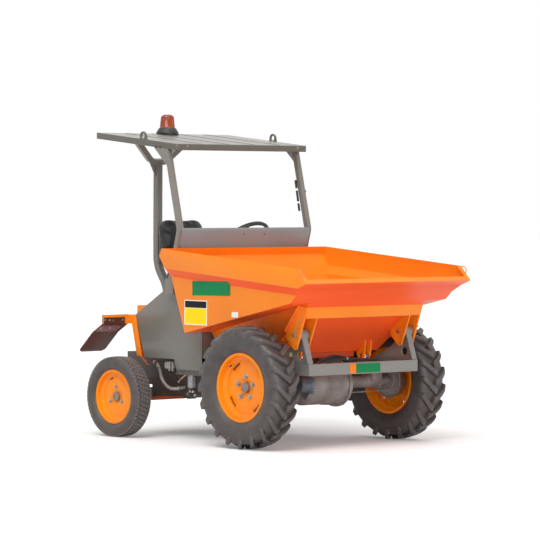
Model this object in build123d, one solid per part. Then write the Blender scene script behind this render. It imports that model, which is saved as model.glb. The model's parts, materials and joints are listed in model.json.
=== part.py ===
# Site dumper: a two-wheel-drive machine that carries a tipping skip in front of its operator.
# Millimetres, +X forward, +Y to the left, +Z up, ground at Z 0.
# Every X below is measured from the front axle. save() moves the finished pieces so that
# the origin lies on the ground under the middle of the machine.
from build123d import *
from math import atan2, cos, degrees, hypot, pi, radians, sin, tan
import os

os.makedirs("parts", exist_ok=True)

# ---- driving dimensions ----
SEAT_GAP = 0.3            # air between a bolted piece and its seat
PIN_GAP = 0.05            # running clearance round a pin, on the radius
SIDE_GAP = 5.0            # air beside a moving piece

WHEELBASE = 1345.0
FRONT_TRACK = 1350.0
FRONT_TYRE_R = 400.0      # to the lugs' tips
FRONT_TYRE_W = 205.0
FRONT_RIM_R = 212.0
LUG_HEIGHT = 26.0
LUG_PAIRS = 20
FRONT_FACETS = 28
LUG_SECTIONS = [          # y, angle by which it trails, top radius, half width, root radius
    (-8.0, 0.0, FRONT_TYRE_R, 18.0, 352.0),
    (86.0, 0.19, FRONT_TYRE_R - 9, 17.0, 330.0),
    (FRONT_TYRE_W / 2, 0.245, 332.0, 9.0, 318.0),
]
REAR_TRACK = 1260.0
REAR_TYRE_R = 273.0
REAR_FACETS = 24
REAR_TYRE_W = 140.0
REAR_RIM_R = 170.0
RIM_PLATE = 4.0
RIM_FLANGE = 14.0
RIM_WELL = 34.0           # depth of the drop centre
RIM_SHARE = 0.36          # half the rim's width over the tyre's width
HUB_BORE_R = 34.0         # the front rim's middle hole
FRONT_DISC_AT = 14.0      # the disc's outer face, outward of the rim's middle
FRONT_FLANGE_R = 92.0
DISC_DISH = 12.0
SLOT_HEIGHT = 17.0        # of the four slots near the front disc's edge
SLOT_SPREAD = 27.0        # degrees
SLOT_AT = 53.0            # degrees from the top, towards the front
HUB_NOSE = 22.0
BACKPLATE = 8.0
DRUM_GAP = 0.5
DRUM_R = 105.0
DRUM_DEPTH = 50.0
REAR_BORE_R = 30.0
REAR_DISC_AT = 12.0
REAR_FLANGE_R = 70.0
REAR_NOSE = 18.0
KNUCKLE_OUT = 40.0        # from the kingpin to the knuckle's outer shoulder

SKIP_PLATE = 4.0
SKIP_HALF = 715.0         # half width of the wide upper body
RAIL_HALF = 757.0         # half width of the upright rail round the top
RAIL_TOP_REAR = (-766.0, 1289.0)
RAIL_TOP_FRONT = (529.0, 1182.0)
RAIL_BULGE = (-790.0, 1239.0)
LIP = (621.0, 1087.0)
LIP_FOLD = (537.0, 1054.0)
RAIL_FOOT_REAR = (-735.0, 1157.0)
RAIL_SLOPE = 0.0785       # fall of the rail's folds per unit forward
TAPER_HEIGHT = 52.0
SHOULDER_REAR = (-580.0, 733.0)
SHOULDER_SLOPE = 0.222
FLOOR_Z = 612.0
FLOOR_REAR_X = -535.0
FLOOR_FRONT_X = 57.0
LOWER_HALF = 445.0        # half width of the narrow body at its floor
LOWER_FLARE = 0.25        # its widening per unit upward
LIP_FLANGE = 34.0

PIVOT = (285.0, 745.0)
PIVOT_Y = 478.0
PIVOT_PIN_R = 14.0
EAR_TIP = (288.0, 668.0)
EAR_BACK = (208.0, 768.0)
EAR_FLANGE = 32.0
EAR_SLOT_R = 7.0
LOOP_R = 27.0             # of the lashing loops on the rails' ends
LOOP_BAR_R = 4.0
LOOP_AT = 38.0
BOSS_R = 38.0
BOSS_HALF = 36.0
EAR_PLATE = 10.0
EAR_SPACING = 46.0        # from the middle of the boss to each ear's near face
STIFFENER_TOP = (398.0, 926.0)
STIFFENER_FOOT = (383.0, 854.0)

BEAM_FRONT_X = 385.0
BEAM_DEPTH = 50.0
BEAM_HALF = 498.0
BEAM_BOTTOM = 483.0
BEAM_TOP = 558.0
FRAME_PLATE = 12.0
FRAME_REAR_X = -430.0

AXLE_TUBE_R = 40.0
AXLE_HALF = 608.0         # to the faces that carry the brakes
COLLAR_Y = 486.0          # where the tube ends in its collar
COLLAR_R = 52.0
NECK_R = 31.0
PLATE_BOSS_R = 62.0
BELL = dict(x=70.0, z=405.0, radius=56.0, outer=305.0, dome=22.0)
BRAKE_ROD_R = 5.0
HOUSING_R = 145.0
SPINDLE_R = 24.0
SPINDLE_REACH = 62.0
BACKPLATE_R = 118.0
NOSE_REACH = 40.0

CHASSIS_HALF = 360.0
CHASSIS_PLATE = 8.0
CHASSIS_TOP = 558.0
CHASSIS_BOTTOM = 370.0
CROSS_TOP = 420.0         # top of the cross member over the rear axle
FLOOR_PLATE = 6.0
FLOOR_REAR = -1000.0
BELLY_Z = 250.0

PANEL_HALF = 550.0
PANEL_PLATE = 4.0
PANEL_BOTTOM = 543.0

COWL = dict(front=-1010.0, rear=-1540.0, half=300.0, top=880.0, plate=4.0)
COWL_SEAT = 15.0          # the rim that the engine cover stands on
CHASSIS_REAR_X = COWL["rear"] - 20
ENGINE_AIR = 80.0         # between the engine and its cover's rear wall

KINGPIN_Y = 555.0
KINGPIN_R = 14.0
REAR_SPINDLE_R = 15.0
REAR_SPINDLE_REACH = 55.0
STEER_ARM = 112.0         # from the kingpin back to the tie rod's pin
STEER_ARM_Y = 6.0         # the tie rod's pin lies this far inside the kingpin

ROOF_FRONT_X = -794.0
ROOF_REAR_X = -1615.0
ROOF_REAR_Z = 2066.0
ROOF_SLOPE = 0.1
ROOF_HALF = 606.0
ROOF_SKIRT = 42.0
ROOF_PLATE = 4.0
ROOF_CORNER = 26.0
ROOF_SEAMS = (-360.0, -120.0, 120.0, 360.0)
SEAM_WIDTH = 10.0
SEAM_HEIGHT = 2.5
POST_SIZE = 35.0
POST_Y = ROOF_HALF - POST_SIZE / 2 - 0.5
POST_BEND = 60.0
GUSSET_PLATE = 6.0
GUSSET_REACH = 105.0
GUSSET_DROP = 115.0
FOOT_BOTTOM = 980.0
REAR_POST_X = -1670.0
REAR_POST_W = 48.0
REAR_POST_DEPTH = 42.0
REAR_POST_BEND = 200.0
YOKE_Z = 1872.0
YOKE_KNEE_Y = 63.0
YOKE_TIP = (280.0, 2066.0)
YOKE_W = 38.0
YOKE_DEPTH = 40.0
YOKE_BEND = 90.0
YOKE_LEAN = 14.0

REARMOST_X = REAR_POST_X - REAR_POST_W / 2
FRONT_AXLE_X = -(LIP[0] + REARMOST_X) / 2

REAR_AXLE = -WHEELBASE
FRONT_Y = FRONT_TRACK / 2
REAR_Y = REAR_TRACK / 2


# ---- helpers ----
def box(x0, x1, y0, y1, z0, z1):
    centre = ((x0 + x1) / 2, (y0 + y1) / 2, (z0 + z1) / 2)
    return Pos(*centre) * Box(abs(x1 - x0), abs(y1 - y0), abs(z1 - z0))


def side_plate(points, y0, y1):
    """A plate whose outline is given as (x, z) corners, between y0 and y1."""
    face = make_face(Polyline([(x, y0, z) for x, z in points], close=True))
    return extrude(face, amount=y1 - y0, dir=(0, 1, 0))


def cross_plate(points, x0, x1):
    """A plate whose outline is given as (y, z) corners, between x0 and x1."""
    face = make_face(Polyline([(x0, y, z) for y, z in points], close=True))
    return extrude(face, amount=x1 - x0, dir=(1, 0, 0))


def rod(start, end, radius):
    a = Vector(*start)
    b = Vector(*end)
    plane = Plane(origin=a, z_dir=(b - a))
    return extrude(plane * Circle(radius), amount=(b - a).length)


def cross_rod(x, z, y0, y1, radius):
    return rod((x, min(y0, y1), z), (x, max(y0, y1), z), radius)


def bent_bar(points, width, depth, bend):
    """A bar of rectangular section along a chain of points in a plane, its corners bent round."""
    path = FilletPolyline(*points, radius=bend)
    normal = (Vector(points[1]) - Vector(points[0])).cross(Vector(points[2]) - Vector(points[1]))
    plane = Plane(origin=path @ 0, x_dir=normal.normalized(), z_dir=path % 0)
    return sweep(plane * Rectangle(depth, width), path=path)


def ribbon(points, width):
    """The outline of a bar of constant width round a chain of (x, z) points."""
    left = []
    right = []
    last = len(points) - 1
    for i, (x, z) in enumerate(points):
        before = points[max(i - 1, 0)]
        after = points[min(i + 1, last)]
        a1 = atan2(z - before[1], x - before[0]) if i else None
        a2 = atan2(after[1] - z, after[0] - x) if i < last else None
        a1 = a2 if a1 is None else a1
        a2 = a1 if a2 is None else a2
        mean = (a1 + a2) / 2
        reach = width / 2 / cos((a2 - a1) / 2)
        left.append((x - sin(mean) * reach, z + cos(mean) * reach))
        right.append((x + sin(mean) * reach, z - cos(mean) * reach))
    return left + right[::-1]


def inset(points, depth):
    """A closed outline moved inwards by depth; the corners run anticlockwise."""
    moved = []
    count = len(points)
    for i in range(count):
        x0, z0 = points[i - 1]
        x1, z1 = points[i]
        x2, z2 = points[(i + 1) % count]
        d1 = hypot(x1 - x0, z1 - z0)
        d2 = hypot(x2 - x1, z2 - z1)
        n1 = (-(z1 - z0) / d1, (x1 - x0) / d1)
        n2 = (-(z2 - z1) / d2, (x2 - x1) / d2)
        scale = depth / (1 + n1[0] * n2[0] + n1[1] * n2[1])
        moved.append((x1 + (n1[0] + n2[0]) * scale, z1 + (n1[1] + n2[1]) * scale))
    return moved


def both_sides(shape):
    return [shape, mirror(shape, about=Plane.XZ)]


def solids_of(shapes):
    found = []
    for shape in shapes if isinstance(shapes, (list, tuple)) else [shapes]:
        found += list(shape.solids())
    return found


def save(name, shapes):
    moved = [Pos(FRONT_AXLE_X, 0, 0) * s for s in solids_of(shapes)]
    whole = moved[0] if len(moved) == 1 else Compound(children=moved)
    whole.label = name
    export_step(whole, "parts/" + name + ".step")


# ---- skip ----
TALL = 1600.0


def along(a, b, z):
    """The x at height z on the line from a to b."""
    return a[0] + (b[0] - a[0]) * (z - a[1]) / (b[1] - a[1])


def skip_outline():
    lip_far = (along(LIP_FOLD, LIP, TALL), TALL)
    return [
        (RAIL_TOP_REAR[0], TALL), RAIL_TOP_REAR, RAIL_BULGE, RAIL_FOOT_REAR,
        (FLOOR_REAR_X, FLOOR_Z), (FLOOR_FRONT_X, FLOOR_Z), LIP_FOLD, lip_far,
    ]


def upper_section(depth):
    """Half widths of the rail, the taper under it and the wide body, as (y, z) at x = 0."""
    rail = RAIL_FOOT_REAR[1] + RAIL_SLOPE * RAIL_FOOT_REAR[0]
    taper = rail - TAPER_HEIGHT
    low = FLOOR_Z
    half = [(SKIP_HALF, low), (SKIP_HALF, taper), (RAIL_HALF, rail), (RAIL_HALF, TALL + 200)]
    ring = half + [(-y, z) for y, z in reversed(half)]
    return inset(ring, depth)


def lower_section(depth):
    top = FLOOR_Z + 400
    wide = LOWER_HALF + LOWER_FLARE * 400
    ring = [(LOWER_HALF, FLOOR_Z), (wide, top), (-wide, top), (-LOWER_HALF, FLOOR_Z)]
    return inset(ring, depth)


def hopper(depth):
    """The skip's closed form, each wall moved inwards by depth."""
    far = 2000
    side = inset(skip_outline(), depth)
    prism = side_plate(side, -far, far)
    start = -1400
    shift = -RAIL_SLOPE * start
    profile = [(y, z + shift) for y, z in upper_section(depth)]
    face = make_face(Polyline([(start, y, z) for y, z in profile], close=True))
    wide = extrude(face, amount=3200, dir=Vector(1, 0, -RAIL_SLOPE).normalized())
    narrow = cross_plate(lower_section(depth), start, 1400)
    rise = depth / cos(atan2(SHOULDER_SLOPE, 1))

    def shoulder(x):
        return SHOULDER_REAR[1] + SHOULDER_SLOPE * (x - SHOULDER_REAR[0]) + rise

    above = side_plate([(start, shoulder(start)), (1400, shoulder(1400)),
                        (1400, 2400), (start, 2400)], -far, far)
    below = side_plate([(start, -600), (1400, -600), (1400, shoulder(1400)),
                        (start, shoulder(start))], -far, far)
    return (prism & wide & above) + (prism & narrow & below)


def skip_trim():
    """Everything under the skip's rim."""
    return side_plate([(-1200, 0), (1200, 0), (LIP[0] + 300, LIP[1] - 310), LIP, RAIL_TOP_FRONT,
                       RAIL_TOP_REAR, (-1200, RAIL_TOP_REAR[1] + 36)], -1000, 1000)


def rim_slab():
    """A slab of plate thickness just under the sloping mouth of the skip."""
    dx = LIP[0] - RAIL_TOP_FRONT[0]
    dz = LIP[1] - RAIL_TOP_FRONT[1]
    run = hypot(dx, dz)
    nx = -dz / run
    nz = dx / run
    t = SKIP_PLATE
    a = RAIL_TOP_FRONT
    b = LIP
    return side_plate([a, (a[0] - nx * t, a[1] - nz * t), (b[0] - nx * t, b[1] - nz * t), b],
                      -1000, 1000)


def make_skip():
    outer = hopper(0)
    shell = (outer - hopper(SKIP_PLATE)) & skip_trim()
    flange = (outer & rim_slab()) - hopper(LIP_FLANGE)
    return outer, shell + flange


def front_wall_x(z):
    return along((FLOOR_FRONT_X, FLOOR_Z), LIP_FOLD, z)


def front_wall_z(x):
    return FLOOR_Z + (LIP_FOLD[1] - FLOOR_Z) * (x - FLOOR_FRONT_X) / (LIP_FOLD[0] - FLOOR_FRONT_X)


def ear_outline(front_top):
    x, z = EAR_TIP
    back = (front_top[0] - 60, front_top[1] + 10)
    return [front_top, (x + 22, z), (x + 17, z - 13), (x + 5, z - 20), (x - 8, z - 19), (x - 20, z - 10),
            (EAR_BACK[0] - 6, EAR_BACK[1] - 46), EAR_BACK, back]


def ear_flange(front_top, y):
    """The outer ear's rear edge, bent outwards."""
    back = (front_top[0] - 60, front_top[1] + 10)
    strip = ribbon([back, (EAR_BACK[0] + 3, EAR_BACK[1])], EAR_PLATE)
    return side_plate(strip, y, y + EAR_FLANGE)


def make_skip_brackets(outer):
    inner_y = PIVOT_Y - EAR_SPACING
    outer_y = PIVOT_Y + EAR_SPACING
    foot = (front_wall_x(STIFFENER_FOOT[1]) - 5, STIFFENER_FOOT[1])
    stiffener = side_plate([STIFFENER_TOP, foot, STIFFENER_FOOT], -outer_y, outer_y)
    pieces = stiffener - outer
    inner_ear = side_plate(ear_outline(STIFFENER_FOOT), inner_y - EAR_PLATE, inner_y)
    outer_ear = side_plate(ear_outline(STIFFENER_TOP), outer_y, outer_y + EAR_PLATE)
    hole = cross_rod(PIVOT[0], PIVOT[1], 0, 700, PIVOT_PIN_R + PIN_GAP)
    slot = cross_rod(EAR_TIP[0] + 4, EAR_TIP[1] - 2, 0, 700, EAR_SLOT_R)
    wing = side_plate([(front_wall_x(700), 700), (front_wall_x(700) - 14, 700),
                       (front_wall_x(900) - 14, 900), (front_wall_x(900), 900)],
                      LOWER_HALF, outer_y)
    ears = inner_ear + outer_ear + wing + ear_flange(STIFFENER_TOP, outer_y)
    ears = ears - hole - slot - outer - stiffener
    for part in both_sides(ears):
        pieces = pieces + part
    return pieces


def make_rail_loops():
    """Lashing loops of round bar on the sloping front ends of the rails."""
    run = hypot(LIP[0] - RAIL_TOP_FRONT[0], LIP[1] - RAIL_TOP_FRONT[1])
    ux = (LIP[0] - RAIL_TOP_FRONT[0]) / run
    uz = (LIP[1] - RAIL_TOP_FRONT[1]) / run
    x = RAIL_TOP_FRONT[0] + ux * LOOP_AT + uz * LOOP_BAR_R
    z = RAIL_TOP_FRONT[1] + uz * LOOP_AT - ux * LOOP_BAR_R
    y = RAIL_HALF - SKIP_PLATE / 2
    plane = Plane(origin=(x - ux * LOOP_R, y, z - uz * LOOP_R), x_dir=(0, 1, 0), z_dir=(-uz, 0, ux))
    loop = revolve(plane * RegularPolygon(LOOP_BAR_R, 8), axis=Axis((x, y, z), (0, 1, 0)), revolution_arc=180)
    return both_sides(loop)


ROD_EYE = (90.0, 580.0)
ROD_PIN_R = 12.0
BARREL_BASE = (-335.0, 468.0)
CYLINDER_Y = 290.0
BARREL_R = 34.0
BARREL_LENGTH = 350.0
ROD_R = 17.0
EYE_R = 26.0
EYE_HALF = 20.0
LUG_PLATE = 12.0
GLAND = 40.0
BARREL_START = 36.0
BARREL_WALL = 8.0


def make_skip_eyes(outer):
    x, z = ROD_EYE
    far = x + 44
    lug = side_plate([(x - 50, FLOOR_Z + 10), (x - 24, z - 12), (x + 10, z - 24), (x + 30, z),
                      (far, front_wall_z(far) + 10)], EYE_HALF + 2, EYE_HALF + 2 + LUG_PLATE)
    hole = cross_rod(ROD_EYE[0], ROD_EYE[1], -100, 100, ROD_PIN_R + PIN_GAP)
    lugs = [s - hole for s in both_sides(lug)]
    return [Pos(0, y, 0) * s - outer for s in lugs for y in (-CYLINDER_Y, CYLINDER_Y)]


# ---- wheels ----
def turn_profile(points, x, z):
    """A ring turned about the axle through (x, z); points are (y, radius)."""
    face = make_face(Polyline([(x, y, z + r) for y, r in points], close=True))
    return revolve(face, axis=Axis((x, 0, z), (0, 1, 0)), revolution_arc=360)


def around(x, z, radius, angle):
    """The x and z of a point round a wheel's middle; angle 0 is straight down."""
    return x + radius * sin(angle), z - radius * cos(angle)


def closed(faces):
    return Solid(Shell([make_face(Polyline(*corners, close=True)) for corners in faces]))


def faceted_ring(profile, x, z, count):
    """A ring with flat facets; profile is (y, least radius), and one facet lies at the bottom."""
    grown = [(y, r / cos(pi / count)) for y, r in profile]
    faces = []
    for i in range(count):
        a = (i - 0.5) * 2 * pi / count
        b = (i + 0.5) * 2 * pi / count
        for j, (y0, r0) in enumerate(grown):
            y1, r1 = grown[(j + 1) % len(grown)]
            corners = [(y0, r0, a), (y1, r1, a), (y1, r1, b), (y0, r0, b)]
            points = []
            for y, r, turn in corners:
                px, pz = around(x, z, r, turn)
                points.append((px, y, pz))
            faces.append(points)
    return closed(faces)


def lug_section(section, hand, x, z):
    """The four corners of a lug at one width; its top corners' chord touches the tyre's radius."""
    w, trail, top, half, root = section
    spread = atan2(half, top)
    points = []
    for radius, turn in ((top, -spread), (top, spread), (root, spread), (root, -spread)):
        px, pz = around(x, z, radius / cos(spread), trail + turn)
        points.append((px, hand * w, pz))
    return points


def lug(hand, x, z):
    """One bar of the tread, from just past the middle out to the shoulder and down the side wall."""
    rows = [lug_section(section, hand, x, z) for section in LUG_SECTIONS]
    faces = []
    for a, b in zip(rows, rows[1:]):
        for i in range(4):
            k = (i + 1) % 4
            faces.append([a[i], a[k], b[k]])
            faces.append([a[i], b[k], b[i]])
    for end in (rows[0], rows[-1]):
        faces.append([end[0], end[1], end[2]])
        faces.append([end[0], end[2], end[3]])
    return closed(faces)


def front_tyre():
    """The lugged tyre, its middle at y = 0; both front wheels turn the same way."""
    z = FRONT_TYRE_R
    half = FRONT_TYRE_W / 2
    ground = FRONT_TYRE_R - LUG_HEIGHT
    bead = FRONT_RIM_R + SEAT_GAP
    seat = FRONT_TYRE_W * RIM_SHARE - RIM_PLATE - SEAT_GAP
    side = [(seat, bead), (seat, bead + RIM_FLANGE), (half - 2, bead + 62), (half - 12, ground - 28),
            (half * 0.5, ground)]
    profile = side + [(-w, r) for w, r in reversed(side)]
    body = faceted_ring(profile, 0, z, FRONT_FACETS)
    pitch = 360 / LUG_PAIRS
    turned = []
    for hand, offset in ((1, 0), (-1, 0.5)):
        bar = lug(hand, 0, z)
        for i in range(LUG_PAIRS):
            turned.append(Pos(0, 0, z) * Rot(0, (i + offset) * pitch, 0) * Pos(0, 0, -z) * bar)
    return body.fuse(*turned)


def rear_tyre():
    """The plain tyre, its middle at y = 0."""
    half = REAR_TYRE_W / 2
    bead = REAR_RIM_R + SEAT_GAP
    seat = REAR_TYRE_W * RIM_SHARE - RIM_PLATE - SEAT_GAP
    side = [(seat, bead), (seat, bead + RIM_FLANGE), (half, bead + 40), (half - 8, REAR_TYRE_R - 16),
            (half * 0.72, REAR_TYRE_R)]
    profile = side + [(-w, r) for w, r in reversed(side)]
    return faceted_ring(profile, REAR_AXLE, REAR_TYRE_R, REAR_FACETS)


def rim(radius, half, disc_at, bore):
    """A dished steel rim centred on the origin, its outer side towards +Y."""
    t = RIM_PLATE
    drop = radius - RIM_WELL
    flange = radius + RIM_FLANGE
    ring = [(-half, flange), (-half, radius - t), (-half * 0.45, radius - t), (-half * 0.3, drop),
            (half * 0.3, drop), (half * 0.45, radius - t), (half, radius - t), (half, flange),
            (half - t, flange), (half - t, radius), (half * 0.45 - t, radius),
            (half * 0.3 - t, drop + t), (-half * 0.3 + t, drop + t), (-half * 0.45 + t, radius),
            (-half + t, radius), (-half + t, flange)]
    dish = disc_at + DISC_DISH
    disc = [(disc_at, bore), (dish, bore + 60), (disc_at, drop), (disc_at - t, drop),
            (dish - t, bore + 60), (disc_at - t, bore)]
    return turn_profile(ring, 0, 0) + turn_profile(disc, 0, 0)


def disc_slot(outer, angle):
    """A cutter for one slot near the edge of a front disc."""
    inner = outer - SLOT_HEIGHT
    spread = radians(SLOT_SPREAD / 2)
    wedge = make_face(Polyline((0, 0), (sin(spread) * 900, cos(spread) * 900),
                               (-sin(spread) * 900, cos(spread) * 900), close=True))
    flat = (Circle(outer) - Circle(inner)) & wedge
    return Rot(0, angle, 0) * Rot(90, 0, 0) * extrude(flat, amount=FRONT_TYRE_W, both=True)


def wheel_side(shape, side, x, y, z):
    """Puts a piece made at the origin, outer side towards +Y, on the left or right of the machine."""
    turned = shape if side > 0 else mirror(shape, about=Plane.XZ)
    return Pos(x, side * y, z) * turned


def front_rim(side):
    shape = rim(FRONT_RIM_R, FRONT_TYRE_W * RIM_SHARE, FRONT_DISC_AT, HUB_BORE_R)
    for i in range(4):
        shape = shape - disc_slot(FRONT_RIM_R - RIM_WELL - RIM_PLATE, SLOT_AT + 90 * i)
    return wheel_side(shape, side, 0, FRONT_Y, FRONT_TYRE_R)


def rear_rim(side):
    shape = rim(REAR_RIM_R, REAR_TYRE_W * RIM_SHARE, REAR_DISC_AT, REAR_BORE_R)
    return wheel_side(shape, side, REAR_AXLE, REAR_Y, REAR_TYRE_R)


def front_hub(side):
    """Hub and brake drum, bored for the axle's spindle."""
    z = FRONT_TYRE_R
    y0 = AXLE_HALF + BACKPLATE + DRUM_GAP
    seat = FRONT_Y + FRONT_DISC_AT - RIM_PLATE - SEAT_GAP
    hub = cross_rod(0, z, y0, FRONT_Y + FRONT_DISC_AT + HUB_NOSE, HUB_BORE_R - SEAT_GAP)
    drum = cross_rod(0, z, y0, y0 + DRUM_DEPTH, DRUM_R)
    flange = cross_rod(0, z, y0, seat, FRONT_FLANGE_R)
    bore = cross_rod(0, z, y0 - 1, AXLE_HALF + SPINDLE_REACH + 2, SPINDLE_R + PIN_GAP)
    shape = hub + drum + flange - bore
    return shape if side > 0 else mirror(shape, about=Plane.XZ)


def rear_hub(side):
    y0 = KINGPIN_Y + KNUCKLE_OUT + SEAT_GAP
    seat = REAR_Y + REAR_DISC_AT - RIM_PLATE - SEAT_GAP
    hub = cross_rod(REAR_AXLE, REAR_TYRE_R, y0, REAR_Y + REAR_DISC_AT + REAR_NOSE, REAR_BORE_R - SEAT_GAP)
    flange = cross_rod(REAR_AXLE, REAR_TYRE_R, seat - 14, seat, REAR_FLANGE_R)
    bore = cross_rod(REAR_AXLE, REAR_TYRE_R, y0 - 1, y0 + REAR_SPINDLE_REACH + 2, REAR_SPINDLE_R + PIN_GAP)
    shape = hub + flange - bore
    return shape if side > 0 else mirror(shape, about=Plane.XZ)


# ---- front frame and drive axle ----
def make_front_frame():
    beam = box(BEAM_FRONT_X - BEAM_DEPTH, BEAM_FRONT_X, -BEAM_HALF, BEAM_HALF, BEAM_BOTTOM, BEAM_TOP)
    rear = box(FRAME_REAR_X, FRAME_REAR_X + 50, -BEAM_HALF, BEAM_HALF, BEAM_BOTTOM, BEAM_TOP)
    frame = beam + rear
    rail = box(FRAME_REAR_X, BEAM_FRONT_X - BEAM_DEPTH, BEAM_HALF - FRAME_PLATE, BEAM_HALF,
               BEAM_BOTTOM, BEAM_TOP)
    y = PIVOT_Y
    gusset = side_plate([(BEAM_FRONT_X - 6, BEAM_TOP), (0, BEAM_TOP), (170, 648),
                         (PIVOT[0] - 30, PIVOT[1] - 20), (PIVOT[0] + 26, PIVOT[1] - 20)],
                        y - FRAME_PLATE / 2, y + FRAME_PLATE / 2)
    gusset = gusset - cross_rod(284, 612, y - 50, y + 50, 28)
    bar = side_plate(ribbon([(BEAM_FRONT_X - 12, BEAM_TOP), (PIVOT[0] + 28, PIVOT[1] - 10)], 12),
                     y - 22, y + 22)
    bar = bar - box(0, 600, 0, 600, 0, BEAM_TOP)
    boss = cross_rod(PIVOT[0], PIVOT[1], y - BOSS_HALF, y + BOSS_HALF, BOSS_R)
    hole = cross_rod(PIVOT[0], PIVOT[1], 0, 700, PIVOT_PIN_R + PIN_GAP)
    side = (rail + gusset + bar + boss) - hole
    for part in both_sides(side) + make_barrel_lugs():
        frame = frame + part
    return frame


def make_pivot_pins():
    y0 = PIVOT_Y - EAR_SPACING - EAR_PLATE - 10
    y1 = PIVOT_Y + EAR_SPACING + EAR_PLATE + 10
    return both_sides(cross_rod(PIVOT[0], PIVOT[1], y0, y1, PIVOT_PIN_R))


def make_drive_axle():
    """Banjo housing, tubes, spindles, brake backplates and the pads under the front frame."""
    z = FRONT_TYRE_R
    half = [(COLLAR_Y, AXLE_TUBE_R), (COLLAR_Y, COLLAR_R), (COLLAR_Y + 20, COLLAR_R),
            (COLLAR_Y + 20, NECK_R), (AXLE_HALF - 12, NECK_R), (AXLE_HALF - 12, PLATE_BOSS_R),
            (AXLE_HALF, PLATE_BOSS_R), (AXLE_HALF, BACKPLATE_R), (AXLE_HALF + BACKPLATE, BACKPLATE_R),
            (AXLE_HALF + BACKPLATE, SPINDLE_R), (AXLE_HALF + SPINDLE_REACH, SPINDLE_R),
            (AXLE_HALF + SPINDLE_REACH, 0)]
    far = [(130, HOUSING_R - 20), (175, 60), (200, AXLE_TUBE_R)] + half
    near = [(-20, HOUSING_R - 4), (-45, HOUSING_R - 12), (-70, HOUSING_R - 8), (-205, HOUSING_R - 8),
            (-228, HOUSING_R - 30), (-240, AXLE_TUBE_R)]
    near = near + [(-y, r) for y, r in half]
    axle = turn_profile(near[::-1] + [(60, HOUSING_R), (100, HOUSING_R)] + far, 0, z)
    ring = turn_profile([(100, 20), (100, HOUSING_R + 12), (122, HOUSING_R + 12), (122, 20)], 0, z)
    nose = rod((-HOUSING_R - NOSE_REACH, 0, z), (-HOUSING_R + 40, 0, z), 60)
    bell = cross_rod(BELL["x"], BELL["z"], -BELL["outer"], -200, BELL["radius"])
    bell = fillet(bell.edges().filter_by(GeomType.CIRCLE).sort_by(Axis.Y)[0], BELL["dome"])
    brake_rod = rod((0, 110, z - 72), (0, AXLE_HALF + 2, z - 66), BRAKE_ROD_R)
    pad = box(-55, 55, BEAM_HALF - 90, BEAM_HALF, z, BEAM_BOTTOM - SEAT_GAP)
    axle = axle + ring + nose + bell + brake_rod
    for part in both_sides(pad):
        axle = axle + part
    return axle


# ---- rear chassis ----
def chassis_outline():
    return [(FRAME_REAR_X - SEAT_GAP, CHASSIS_TOP), (CHASSIS_REAR_X, CHASSIS_TOP),
            (CHASSIS_REAR_X, CHASSIS_BOTTOM), (REAR_AXLE + 90, CHASSIS_BOTTOM), (REAR_AXLE + 130, BELLY_Z),
            (-1000, BELLY_Z + 14), (-800, BELLY_Z + 50), (FRAME_REAR_X - SEAT_GAP, BEAM_BOTTOM)]


def make_chassis():
    plate = side_plate(chassis_outline(), CHASSIS_HALF - CHASSIS_PLATE, CHASSIS_HALF)
    body = both_sides(plate)
    frame = body[0] + body[1]
    frame = frame + box(CHASSIS_REAR_X - 10, CHASSIS_REAR_X, -CHASSIS_HALF, CHASSIS_HALF, CHASSIS_BOTTOM,
                        CHASSIS_TOP)
    cross_x = FRAME_REAR_X - SEAT_GAP
    frame = frame + box(cross_x - 10, cross_x, -CHASSIS_HALF, CHASSIS_HALF, BEAM_BOTTOM, CHASSIS_TOP)
    inner = CHASSIS_HALF - CHASSIS_PLATE
    frame = frame + box(REAR_AXLE - 45, REAR_AXLE + 45, -inner, inner, CHASSIS_BOTTOM, CROSS_TOP)
    return frame + make_belly() + make_axle_bracket() + make_cowl_base()


def make_belly():
    inner = CHASSIS_HALF - CHASSIS_PLATE / 2
    chain = [(REAR_AXLE + 96, 362), (REAR_AXLE + 135, BELLY_Z + 5), (-1000, BELLY_Z + 19),
             (-800, BELLY_Z + 55)]
    return side_plate(ribbon(chain, 6), -inner, inner)


KNUCKLE_HALF = 40.0       # half height of the knuckle
JAW_PLATE = 20.0
JAW_REACH = 25.0
JAW_BACK = 45.0           # from the kingpin to the jaw's back plate


def make_rear_axle():
    z = REAR_TYRE_R
    inner = KINGPIN_Y - JAW_BACK
    gap = KNUCKLE_HALF + SIDE_GAP
    tall = gap + JAW_PLATE
    beam = box(REAR_AXLE - 35, REAR_AXLE + 35, -inner + 10, inner - 10, z - 35, z + 35)
    jaw = box(REAR_AXLE - 28, REAR_AXLE + 28, inner - 35, KINGPIN_Y + JAW_REACH, z - tall, z + tall)
    jaw = jaw - box(REAR_AXLE - 60, REAR_AXLE + 60, inner, KINGPIN_Y + JAW_REACH + 1, z - gap, z + gap)
    jaw = jaw + Pos(REAR_AXLE, KINGPIN_Y, z) * Cylinder(KINGPIN_R, 2 * tall + 10)
    shape = beam
    for part in both_sides(jaw):
        shape = shape + part
    return shape


def make_axle_bracket():
    z = REAR_TYRE_R
    slot = 35 + SEAT_GAP
    plate = side_plate([(REAR_AXLE - 60, CHASSIS_BOTTOM + 1), (REAR_AXLE - 60, z + 30),
                        (REAR_AXLE - 40, z - 40), (REAR_AXLE + 40, z - 40), (REAR_AXLE + 60, z + 30),
                        (REAR_AXLE + 60, CHASSIS_BOTTOM + 1)],
                       -40, 40)
    return plate - box(REAR_AXLE - slot, REAR_AXLE + slot, -100, 100, z - 100, z + slot)


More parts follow.
